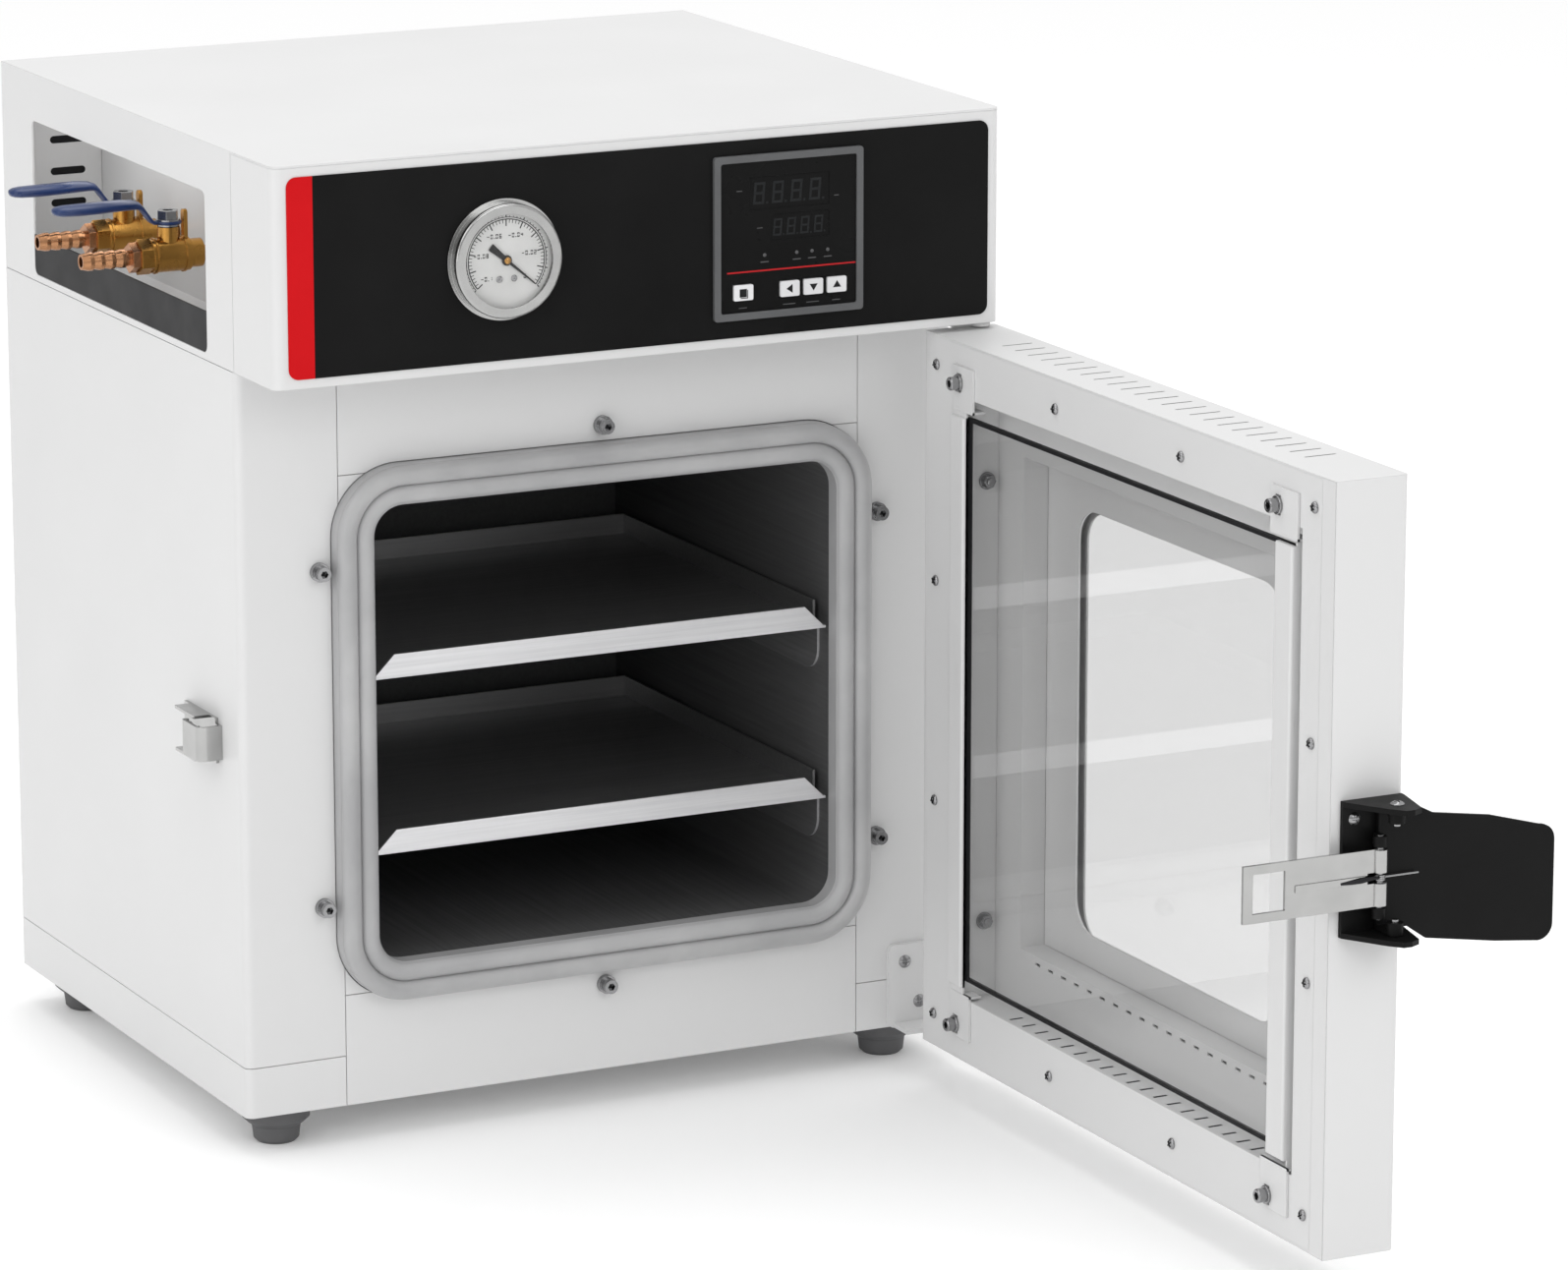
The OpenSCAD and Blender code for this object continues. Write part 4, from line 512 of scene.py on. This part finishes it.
def lathe(bm, profile, at, steps=24):
    """Turns (radius, height) points about an axis. A third item, HEX, makes that ring a hexagon."""
    rings = []
    for row in profile:
        r, h = row[:2]
        if r == 0:
            rings.append([bm.verts.new(at(0, 0, h))])
            continue
        ring = []
        for k in range(steps):
            a = 2 * math.pi * k / steps
            f = math.cos(math.pi / 6) / math.cos(a % (math.pi / 3) - math.pi / 6) if HEX in row[2:] else 1
            ring.append(bm.verts.new(at(r * f * math.cos(a), r * f * math.sin(a), h)))
        rings.append(ring)
    for low, high in zip(rings, rings[1:]):
        for k in range(steps):
            a, b = low[k % len(low)], low[(k + 1) % len(low)]
            c, d = high[(k + 1) % len(high)], high[k % len(high)]
            bm.faces.new([v for i, v in enumerate((a, b, c, d)) if v not in (a, b, c, d)[:i]])


def sweep(bm, stations, steps=20):
    """A closed skin over oval sections. A station is (centre, side, up, half width, half thickness)."""
    rings = []
    for centre, side, up, w, t in stations:
        angles = [2 * math.pi * k / steps for k in range(steps)]
        rings.append([bm.verts.new(centre + side * (w * math.cos(a)) + up * (t * math.sin(a)))
                      for a in angles])
    for low, high in zip(rings, rings[1:]):
        for k in range(steps):
            bm.faces.new((low[k], low[(k + 1) % steps], high[(k + 1) % steps], high[k]))
    bm.faces.new(rings[0])
    bm.faces.new(rings[-1][::-1])


def on_front(x, z, y):
    """Local axes on a face that looks to the front: right, up, forward."""
    return lambda a, b, h: Vector(((x + a) * MM, (y - h) * MM, (z + b) * MM))


def on_top(x, y, z):
    """Local axes on a face that looks up: right, back, up."""
    return lambda a, b, h: Vector((x + a, y + b, z + h)) * MM


def turned(at, angle):
    """The axes of at, turned by angle about the third."""
    c, s = math.cos(angle), math.sin(angle)
    return lambda a, b, h: at(a * c - b * s, a * s + b * c, h)


# ---- the door's inside, drawn shut and turned to where the open door stands ----

HINGE = (225.0, -234.0)
DOOR_X = (-238.0, 230.0)
DOOR_Z = (29.0, 463.0)
FACE_Y = -198.0                            # inner face of the door
STEP_Y = -220.0                            # face of the step
BACK_Y = -236.2                            # face of the window frame
RIM_END_Y = -237.6                         # just before the outer glass
T = 1.2                                    # sheet
OPEN_X = (-203.5, 180.0)                   # opening in the inner border
OPEN_Z = (68.0, 431.0)
STEP_X = (-157.0, 149.0)                   # opening in the step
STEP_Z = (104.0, 400.0)
WINDOW_X = (-120.0, 112.0)
WINDOW_Z = (123.5, 376.5)
WINDOW_R = 20.0
ARC_STEPS = 8                              # to each round corner of the window
GLASS_X = (-196.95, 179.45)
GLASS_Z = (79.0, 420.0)
RETURN = 14.0                              # width of the skin's folded edge
PITCH = 15.6                               # of the cooling slots
TUNNEL_SLOT_Y = (FACE_Y - 12.5, FACE_Y - 3.5)
TUNNEL_SLOT_HALF = 1.3                     # half their width
STEP_SLOT_Z = (STEP_Z[0] - 5.8, STEP_Z[0] - 4.2)
STEP_SLOT_HALF = 3.0
EDGE_SLOT_Y = (-234.4, -215.6)
EDGE_SLOT_HALF = 0.75
SLOT_SHADE_SLABS = (                                # dark slabs of painted shade behind the cooling slots, corner to corner
    ((-205, -238, 40), (205, -200, 66)),
    ((-205, -238, 438), (205, -203, 461)),
    ((-175, -236, 74), (165, -222, 101)),
)
BAR_Z = (75.0, 420.0)                      # ends of the upright bars beside the glass
BAR_T = 3.4
BOLT_X = (186.0, -180.0)                   # bolts at the corners of the glass
BOLT_Z = (50.5, 439.5)
SIDE_BOLT_Z = (114.0, 381.0)
TAB_X = ((169.0, 193.0, 180.0), (-201.0, -172.0, -172.0))      # x0, x1 and the end of the folded lip
TAB_Z = ((43.0, 71.0, 69.5, 71.0), (423.0, 449.5, 423.0, 424.5))     # z0, z1 and the lip's z0, z1
SCREW_X = [216.0 + k * (-216.5 - 216.0) / 3 for k in range(4)]       # screws round the border
SCREW_Z = (49.0, 445.0)
SIDE_SCREW_Z = (181.0, 315.0)
BOLT = [(0, -6), (2.2, -6), (2.2, 0), (5.0, 0), (5.2, 0.2), (5.2, 1.3), (4.9, 1.6), (3.9, 1.6), (4.0, 1.8),
        (4.0, 6.0), (3.5, 6.6), (2.4, 6.6), (2.35, 6.5, HEX), (2.2, 3.4, HEX), (0, 3.2)]
SIDE_BOLT = [(0, -3), (2.4, -3), (2.4, 0), (5.0, 0), (5.2, 0.2), (5.2, 1.4), (5.0, 1.6), (4.0, 1.6, HEX),
             (4.1, 4.6, HEX), (3.4, 5.0), (2.4, 5.0), (2.3, 5.8), (0, 6.0)]
SCREW = ([(0, -7), (1.5, -7), (1.5, 0), (3.1, 0), (3.3, 0.2)]
         + [(3.3 * math.sin(a), 0.5 + 1.7 * math.cos(a)) for a in (1.57, 1.2, 0.85, 0.5, 0.2)] + [(0, 2.25)])


def shut(x, y, z):
    """Where a point of the shut door lies when the door stands open."""
    return Vector(((HINGE[0] - (y - HINGE[1])) * MM, (HINGE[1] + (x - HINGE[0])) * MM, z * MM))


def facing(y):
    """Places a lattice of (x, z) points whose face is at y and looks out of the door's inside."""
    return lambda u, v, w: shut(u, y - w, v)


def on_face(x, z, y):
    """Local axes of something that stands on the door's inner face and points away from it."""
    return lambda a, b, h: shut(x + a, y + h, z + b)


def on_wall(z):
    """Local axes of something that stands on the tunnel's wall at the hinge side."""
    return lambda a, b, h: shut(OPEN_X[1] - h, STEP_Y + 8.0 + a, z + b)


def slot_row(middle, count):
    return [middle + (k - count // 2) * PITCH for k in range(count)]


INNER_ROW = slot_row(-13.0, 19)            # middles of the slots in the tunnel and the step
EDGE_ROW = slot_row(-4.0, 23)              # middles of the slots in the door's edges


def slot_cuts(half):
    return [x + side for x in INNER_ROW for side in (-half, half)]


def inset(span, by):
    return [span[0], span[0] + by, span[1] - by, span[1]]


def tunnel_walls(bm, xs, zs, y0, y1):
    """The walls beside and above a rectangle, from y0 to y1."""
    slab(bm, (xs[0] - T, y0, zs[0] - T), (xs[0], y1, zs[1] + T), shut)
    slab(bm, (xs[1], y0, zs[0] - T), (xs[1] + T, y1, zs[1] + T), shut)
    slab(bm, (xs[0], y0, zs[1]), (xs[1], y1, zs[1] + T), shut)


def door_inside():
    bm = bmesh.new()
    lattice(bm, [DOOR_X[0] + RETURN + 0.4, *OPEN_X, DOOR_X[1] - 1.25],
            [DOOR_Z[0] + T, *OPEN_Z, DOOR_Z[1] - T], round_middle, facing(FACE_Y), T)
    tunnel_walls(bm, OPEN_X, OPEN_Z, FACE_Y - T, STEP_Y)
    lattice(bm, [OPEN_X[0], *slot_cuts(TUNNEL_SLOT_HALF), OPEN_X[1]], [STEP_Y, *TUNNEL_SLOT_Y, FACE_Y - T],
            lambda i, j: j != 1 or i % 2 == 0, lambda u, v, w: shut(u, v, OPEN_Z[0] - w), T)
    cuts = [OPEN_X[0], STEP_X[0], *slot_cuts(STEP_SLOT_HALF), STEP_X[1], OPEN_X[1]]
    last = len(cuts) - 2
    opening, slots = 3, 1                  # rows of the lattice that follows

    def step_cell(i, j):
        return not (0 < i < last and (j == opening or (j == slots and i % 2 == 0)))
    lattice(bm, cuts, [OPEN_Z[0], *STEP_SLOT_Z, *STEP_Z, OPEN_Z[1]], step_cell, facing(STEP_Y), T)
    tunnel_walls(bm, STEP_X, STEP_Z, STEP_Y - T, BACK_Y)
    slab(bm, (STEP_X[0], STEP_Y - T, STEP_Z[0] - T), (STEP_X[1], BACK_Y, STEP_Z[0]), shut)
    inside = piece("door_inside", bm, "door", "white_powder")
    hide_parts("door_liner")
    bm = bmesh.new()
    slab(bm, (DOOR_X[0] + 0.3, FACE_Y + 0.01, DOOR_Z[0] + 0.3),
         (DOOR_X[0] + RETURN, FACE_Y + 0.25, DOOR_Z[1] - 0.3), shut)
    piece("door_folded_edge", bm, "door", "white_powder")


def door_slot_shade():
    """Dark backing of painted shade behind the slots, whose ribs reach into the slots as painted shadow."""
    bm = bmesh.new()
    for low, high in SLOT_SHADE_SLABS:
        slab(bm, low, high, shut)
    # ribs that fill the slots to just under the surface, as painted shadow
    for x in EDGE_ROW:
        slab(bm, (x - EDGE_SLOT_HALF, EDGE_SLOT_Y[0], 460),
             (x + EDGE_SLOT_HALF, EDGE_SLOT_Y[1], DOOR_Z[1] - 0.15), shut)
    half = TUNNEL_SLOT_HALF - 0.1
    for x in INNER_ROW:
        slab(bm, (x - half, TUNNEL_SLOT_Y[0] + 0.1, 65.5),
             (x + half, TUNNEL_SLOT_Y[1] - 0.1, OPEN_Z[0] - 0.2), shut)
    piece("door_slot_shade", bm, "door", "black_rubber")


def round_corners(grow=0.0):
    """The window's four round corners, anticlockwise, each a list of points."""
    (x0, x1), (z0, z1), r = WINDOW_X, WINDOW_Z, WINDOW_R
    centres = ((x1 - r, z1 - r), (x0 + r, z1 - r), (x0 + r, z0 + r), (x1 - r, z0 + r))
    arcs = []
    for q, (cx, cz) in enumerate(centres):
        angles = [math.pi / 2 * (q + k / ARC_STEPS) for k in range(ARC_STEPS + 1)]
        arcs.append([(cx + (r + grow) * math.cos(a), cz + (r + grow) * math.sin(a)) for a in angles])
    return arcs


def joined(arcs):
    return [point for arc in arcs for point in arc]


def loop_solid(bm, inner, outer, y0, y1):
    """A closed ring between two loops of equal length, from y0 to y1."""
    rows = [[bm.verts.new(shut(x, y, z)) for x, z in loop] for y in (y0, y1) for loop in (inner, outer)]
    n = len(inner)
    for a, b in ((0, 1), (1, 3), (3, 2), (2, 0)):
        for k in range(n):
            m = (k + 1) % n
            bm.faces.new((rows[a][k], rows[a][m], rows[b][m], rows[b][k]))


def window_frame():
    """The plate between the step's opening and the window, with a rim behind it."""
    arcs = round_corners()
    (x0, x1), (z0, z1) = inset(STEP_X, 0.1)[1:3], inset(STEP_Z, 0.1)[1:3]
    outer = []
    for q, (cx, cz) in enumerate(((x1, z1), (x0, z1), (x0, z0), (x1, z0))):
        for k, (x, z) in enumerate(arcs[q]):
            f = 2 * k / ARC_STEPS - 1      # -1 and 1 at the arc's ends, 0 at its middle
            if (f < 0) == (q in (0, 2)):
                outer.append((cx, cz + (z - cz) * abs(f)))
            else:
                outer.append((cx + (x - cx) * abs(f), cz))
    bm = bmesh.new()
    loop_solid(bm, joined(arcs), outer, BACK_Y, BACK_Y - T)
    loop_solid(bm, joined(arcs), joined(round_corners(T)), BACK_Y - T, RIM_END_Y)
    piece("window_frame", bm, "door", "white_powder")


def rounded_bar(bm, x0, x1):
    """An upright bar with its two outer edges rounded."""
    part = bmesh.new()
    slab(part, (x0, FACE_Y + 0.05, BAR_Z[0]), (x1, FACE_Y + BAR_T, BAR_Z[1]), shut)
    near_top = shut(0, FACE_Y + BAR_T - 0.1, 0).x
    edges = [e for e in part.edges if abs(e.verts[0].co.x - e.verts[1].co.x) < 1e-6
             and min(v.co.x for v in e.verts) < near_top]
    bmesh.ops.bevel(part, geom=edges, offset=1.5 * MM, segments=4, affect="EDGES", profile=0.5)
    mesh = bpy.data.meshes.new("bar")
    part.to_mesh(mesh)
    part.free()
    bm.from_mesh(mesh)
    bpy.data.meshes.remove(mesh)


def door_bars():
    bm = bmesh.new()
    rounded_bar(bm, 177.0, 193.5)
    rounded_bar(bm, -198.5, -180.0)
    slab(bm, (-198.5, FACE_Y - 9, 71), (-197.05, FACE_Y + 0.05, 423), shut)
    slab(bm, (177, FACE_Y + 0.03, 70), (193, FACE_Y + 1.45, 425), shut)
    for bolt_x, (x0, x1, lip_x) in zip(BOLT_X, TAB_X):
        for bolt_z, (z0, z1, lip_z0, lip_z1) in zip(BOLT_Z, TAB_Z):
            lattice(bm, [x0, bolt_x - 2.8, bolt_x + 2.8, x1], [z0, bolt_z - 5.5, bolt_z + 5.5, z1],
                    round_middle, facing(FACE_Y + 1.55), 1.5)
            slab(bm, (x0, FACE_Y - 7, lip_z0), (lip_x, FACE_Y + 1.5, lip_z1), shut)
    bars = piece("door_bars", bm, "door", "white_powder")
    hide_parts("glass_bars")


def door_glazing():
    bm = bmesh.new()
    (x0, x1), (z0, z1) = inset(GLASS_X, 2.1)[1:3], inset(GLASS_Z, 2.1)[1:3]
    slab(bm, (x0, FACE_Y - 8.4, z0), (x1, FACE_Y - 0.8, z1), shut)
    glass = piece("door_pane", bm, "door", "door_glass")
    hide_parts("inner_glass")
    bm = bmesh.new()
    lattice(bm, inset(GLASS_X, 7), inset(GLASS_Z, 2.3), round_middle, facing(FACE_Y - 0.45), 0.3)
    lattice(bm, inset(GLASS_X, 2), inset(GLASS_Z, 2), round_middle, facing(FACE_Y - 0.75), 2.4)
    seal = piece("door_seal", bm, "door", "black_rubber")
    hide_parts("glass_edging")


def door_bolts():
    bm = bmesh.new()
    dark = bmesh.new()
    for x in BOLT_X:
        for z in BOLT_Z:
            at = on_face(x, z, FACE_Y + 1.6)
            lathe(bm, BOLT, at)
            # dark discs in the bolts' sockets, as painted shadow
            lathe(dark, [(0, 3.3), (1.5, 3.3), (1.5, 4.2), (0, 4.2)], at, 12)
    for z in SIDE_BOLT_Z:
        lathe(bm, SIDE_BOLT, on_wall(z))
    piece("door_bolt_socket_shadows", dark, "door", "black_rubber")
    bolts = piece("door_bolts", bm, "door", "screw_steel")
    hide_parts("corner_bolts")


def door_screws():
    bm = bmesh.new()
    marks = bmesh.new()
    spots = [(x, z) for x in SCREW_X for z in SCREW_Z]
    spots += [(x, z) for x in (SCREW_X[0], SCREW_X[3]) for z in SIDE_SCREW_Z]
    for n, (x, z) in enumerate(spots):
        at = on_face(x, z, FACE_Y)
        lathe(bm, SCREW, at)
        cross = turned(at, 0.4 + 0.9 * n)
        # dark crosses on the heads stand for the shade in their cross recesses: painted shade
        slab(marks, (-1.9, -0.42, 1.0), (1.9, 0.42, 2.32), cross)
        slab(marks, (-0.42, -1.9, 1.0), (0.42, 1.9, 2.31), cross)
    screws = piece("door_screw_heads", bm, "door", "screw_steel", smooth=True)
    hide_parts("door_screws")
    piece("door_screw_cross_shadows", marks, "door", "black_rubber")


# ---- figures ----

SEGMENTS = {"0": "abcdef", "1": "bc", "2": "abged", "4": "fgbc", "6": "afgedc", "8": "abcdefg", "-": "g"}
FIGURE_T = 0.08                            # thickness of a stroke
FIGURE_W = 0.55                            # width of a figure as a share of its height


def glyph(bm, mark, at, h, t):
    """A seven-segment figure of height h with strokes t wide, from (0, 0). Says how far to move on."""
    w = h * FIGURE_W
    if mark == ".":
        slab(bm, (0, 0, 0), (t * 1.2, t * 1.2, FIGURE_T), at)
        return t * 2.4
    bars = {"a": (0, h - t, w, h), "g": (0, h / 2 - t / 2, w, h / 2 + t / 2), "d": (0, 0, w, t),
            "f": (0, h / 2 + t * 0.6, t, h - t * 1.1), "b": (w - t, h / 2 + t * 0.6, w, h - t * 1.1),
            "e": (0, t * 1.1, t, h / 2 - t * 0.6), "c": (w - t, t * 1.1, w, h / 2 - t * 0.6)}
    for name in SEGMENTS[mark]:
        x0, z0, x1, z1 = bars[name]
        slab(bm, (x0, z0, 0), (x1, z1, FIGURE_T), at)
    return w + t * 1.6


# ---- gauge ----

GAUGE = (-89.5, 531.0)                     # middle of the dial
DIAL_Y = -248.2                            # its face
DIAL = on_front(*GAUGE, DIAL_Y)
TICKS = 50
ARC_PARTS = 60                             # straight parts to each arc of the scale
LABELS = ("-0.1", "-0.08", "-0.06", "-0.04", "-0.02", "0")


def dial_angle(share):
    """Angle at a share of the scale, which runs clockwise over 260 degrees."""
    return math.radians(220 - 260 * share)


def gauge_scale():
    bm = bmesh.new()
    for k in range(TICKS + 1):
        major = k % 5 == 0
        half = 0.34 if major else 0.2
        ray = turned(DIAL, dial_angle(k / TICKS))
        slab(bm, (19.6 if major else 21.4, -half, 0.0), (23.4, half, 0.07), ray)
        slab(bm, (24.9, -half, 0.0), (26.2 if major else 25.6, half, 0.07), ray)
    arc = [dial_angle(k / ARC_PARTS) for k in range(ARC_PARTS + 1)]
    for lo, hi in ((23.3, 23.9), (24.5, 24.95)):
        for a0, a1 in zip(arc, arc[1:]):
            corners = ((lo, a0), (hi, a0), (hi, a1), (lo, a1))
            prism(bm, [(r * math.cos(a), r * math.sin(a)) for r, a in corners], DIAL, 0.05)
    for k, text in enumerate(LABELS):
        angle = dial_angle(k / (len(LABELS) - 1))
        x = GAUGE[0] + 15.2 * math.cos(angle) - 1.05 * len(text)
        z = GAUGE[1] + 15.6 * math.sin(angle) - 1.2
        for mark in text:
            x += glyph(bm, mark, on_front(x, z, DIAL_Y), 2.6, 0.46)
    piece("dial_scale", bm, "cabinet", "needle_black")


def gauge_fittings():
    bm = bmesh.new()
    for dx in (-4.6, 4.6):
        lathe(bm, [(0, -0.4), (1.9, -0.4), (1.9, 0.5), (1.5, 0.9), (0.5, 0.9), (0.5, 0.4), (0, 0.4)],
              on_front(GAUGE[0] + dx, GAUGE[1] - 10.6, DIAL_Y), 16)
    piece("dial_screws", bm, "cabinet", "screw_steel")
    bm = bmesh.new()
    lathe(bm, [(0, 0), (2.1, 0), (2.1, 0.9), (1.6, 1.5), (0.6, 1.7), (0, 1.7)],
          on_front(*GAUGE, DIAL_Y - 1.1), 20)
    piece("needle_hub", bm, "gauge_needle", "valve_brass", smooth=True)


# ---- controller ----

PANEL = (90.5, 531.0)                      # middle of the panel
PANEL_Y = -245.01                          # its face
FACE = on_front(*PANEL, PANEL_Y)
INK_T = 0.06
SLANT = 0.08                               # lean of the figures
DISPLAYS = ((-22.6, 12.0, 18.6, 12.8, 1.5), (-9.9, 8.8, -0.6, 10.0, 1.1))    # x, step, z, height, stroke
LED_X = (-15.4, 5.3, 15.2, 25.4)
LED_Z = -11.2
CAPTIONS = ((-31.5, 27.0, 3.6), (-18.5, 4.6, 3.6), (31.0, 20.0, 3.0), (-29.4, -41.4, 5.2),
            (0.5, -41.4, 8.0), (15.7, -41.4, 8.0), (30.9, -41.4, 5.2))       # x, z, width of a plain bar
KEY_Z = 499.0
KEYS = (("button_set", -29.4, None), ("button_left", 0.5, math.pi), ("button_down", 15.7, -math.pi / 2),
        ("button_up", 30.9, math.pi / 2))  # body, x, angle of its arrow


def controller_print():
    bm = bmesh.new()
    for x0, step, z, h, t in DISPLAYS:
        for k in range(4):
            at = on_front(PANEL[0] + x0 + k * step, PANEL[1] + z, PANEL_Y + 0.5)

            def lean(a, b, c, at=at):
                return at(a + b * SLANT, b, c)
            glyph(bm, "8", lean, h, t)
            slab(bm, (h * FIGURE_W + t * 0.9, 0, 0), (h * FIGURE_W + t * 1.8, t * 0.9, FIGURE_T), lean)
    piece("display_figures", bm, "cabinet", "bezel_grey",
          printed("display_dark", (0.017, 0.018, 0.019), 0.4, 0.12))
    bm = bmesh.new()
    slab(bm, (-39.5, -20.6, 0), (43.6, -19.7, 0.08), FACE)
    piece("controller_line", bm, "cabinet", "rocker_red",
          printed("line_red", (0.50, 0.012, 0.016), 0.4, 0.2))
    bm = bmesh.new()
    for x in LED_X:
        lathe(bm, [(0, 0), (1.1, 0), (1.1, 0.15), (0.7, 0.4), (0, 0.5)],
              on_front(PANEL[0] + x, PANEL[1] + LED_Z, PANEL_Y), 16)
        slab(bm, (x - 2.6, -15.5, 0), (x + 2.6, -14.9, INK_T), FACE)
    for x, z, w in CAPTIONS:
        slab(bm, (x - w / 2, z, 0), (x + w / 2, z + 0.5, INK_T), FACE)
    piece("controller_leds", bm, "cabinet", "bezel_grey",
          printed("print_grey", (0.09, 0.09, 0.092), 0.45, 0.2))


def key_icons():
    ink = printed("key_ink", (0.010, 0.010, 0.011), 0.45, 0.2)
    for name, x, angle in KEYS:
        bm = bmesh.new()
        at = on_front(PANEL[0] + x, KEY_Z, PANEL_Y - 1.2)
        if angle is None:
            slab(bm, (-2.6, -2.6, 0), (2.0, 2.2, INK_T), at)
            slab(bm, (2.3, -3.1, 0), (2.8, 1.6, INK_T), at)
            slab(bm, (-2.0, -3.4, 0), (2.8, -2.9, 0.07), at)
        else:
            prism(bm, [(2.4, 0), (-1.6, 2.6), (-1.6, -2.6)], turned(at, angle), INK_T)
        piece(name + "_icon", bm, name, "case_black", ink)


# ---- valve levers: dipped grips over a flat bar ----

VALVES = (("front_valve", "front_valve_lever", -23.0), ("rear_valve", "rear_valve_lever", 48.0))
STEM_X = -205.0
LEVER_Z = 525.1                            # underside of the levers
GRIP = ((-5.5, 0.9, 4.6, 0.9), (-9.0, 1.0, 4.6, 1.1), (-11.0, 2.4, 4.7, 1.3), (-14.0, 6.4, 4.9, 1.4),
        (-17.0, 10.4, 5.1, 1.6), (-19.0, 11.9, 5.5, 2.3), (-22.5, 12.7, 6.0, 2.9), (-30.0, 12.9, 6.6, 3.3),
        (-42.0, 12.6, 7.1, 3.5), (-56.0, 12.4, 7.4, 3.5), (-65.0, 12.4, 7.2, 3.3), (-69.0, 12.4, 6.0, 2.8),
        (-71.2, 12.4, 3.8, 1.9), (-71.9, 12.4, 1.2, 0.6))      # x, z, half width, half thickness
EYE = [(2.6, 0), (7.7, 0), (8.0, 0.3), (8.0, 1.5), (7.7, 1.8), (2.6, 1.8), (2.6, 0)]


def valve_levers():
    for body, node, y in VALVES:
        at = on_top(STEM_X, y, LEVER_Z)
        stations = []
        for k, (x, z, w, t) in enumerate(GRIP):
            a, b = GRIP[max(0, k - 1)], GRIP[min(len(GRIP) - 1, k + 1)]
            run = Vector((b[0] - a[0], 0, b[1] - a[1])).normalized()
            stations.append((at(x, 0, z), Vector((0, 1, 0)), Vector((-run.z, 0, run.x)), w * MM, t * MM))
        bm = bmesh.new()
        sweep(bm, stations)
        lathe(bm, EYE, at, 32)
        lever = piece(node + "_grip", bm, body, "lever_blue", smooth=True)
        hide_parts(node)


# ---- the recess's end wall with its slots painted as shadow, and the shadows in the clamp screws' sockets ----

RECESS_END_Y = 169.3
RECESS_SLOT_Z = (506.4, 525.9, 545.4)
RECESS_SLOT_X = -193.5
CLAMPS = ((0, 415.5), (0, 76.5), (180, 346), (180, 146), (-180, 346), (-180, 146))
CLAMP_Y = -188.64


def capsule(half, r):
    """The outline of a bar with round ends."""
    return [(s * half + r * math.cos(a0 + math.pi * k / 8), r * math.sin(a0 + math.pi * k / 8))
            for s, a0 in ((1, -math.pi / 2), (-1, math.pi / 2)) for k in range(9)]


def recess_end():
    bm = bmesh.new()
    slab(bm, (-227.4, RECESS_END_Y, 472.5), (-171.5, RECESS_END_Y + 0.45, 591.0), on_top(0, 0, 0))
    piece("recess_end_wall", bm, "cabinet", "white_powder")
    bm = bmesh.new()
    # dark capsules over the wall's slots, as painted shadow
    for z in RECESS_SLOT_Z:
        prism(bm, capsule(9.0, 2.3), on_front(RECESS_SLOT_X, z, RECESS_END_Y - 0.02), 0.06)
    piece("recess_slot_shadows", bm, "cabinet", "black_rubber")


def clamp_sockets():
    bm = bmesh.new()
    for x, z in CLAMPS:
        lathe(bm, [(0, 0.05), (1.35, 0.05), (1.35, 1.2), (0, 1.2)], on_front(x, z, CLAMP_Y), 12)
    piece("clamp_socket_shadows", bm, "cabinet", "black_rubber")


# ---- the spring's leg on the hasp ----

LEG_X = -252.5
LEG = ((0.2, -221.0, 246.6, 0.9), (0, -216.0, 246.4, 1.1), (0, -210.0, 246.0, 1.5),
       (0.4, -203.0, 245.6, 1.2), (0.6, -197.0, 245.4, 0.7))   # x past LEG_X, y, z, half width
LEG_T = 0.6                                # most half thickness


def spring_leg():
    bm = bmesh.new()
    side, up = Vector((0, 0, 1)), (shut(1, 0, 0) - shut(0, 0, 0)).normalized()
    sweep(bm, [(shut(LEG_X + x, y, z), side, up, r * MM, min(r, LEG_T) * MM) for x, y, z, r in LEG], 12)
    piece("spring_leg", bm, "latch_hasp", "spring_steel", smooth=True)


camera()
studio()
dress_nodes()
door_inside()
door_slot_shade()
window_frame()
door_bars()
door_glazing()
door_bolts()
door_screws()
gauge_scale()
gauge_fittings()
controller_print()
key_icons()
valve_levers()
recess_end()
clamp_sockets()
spring_leg()
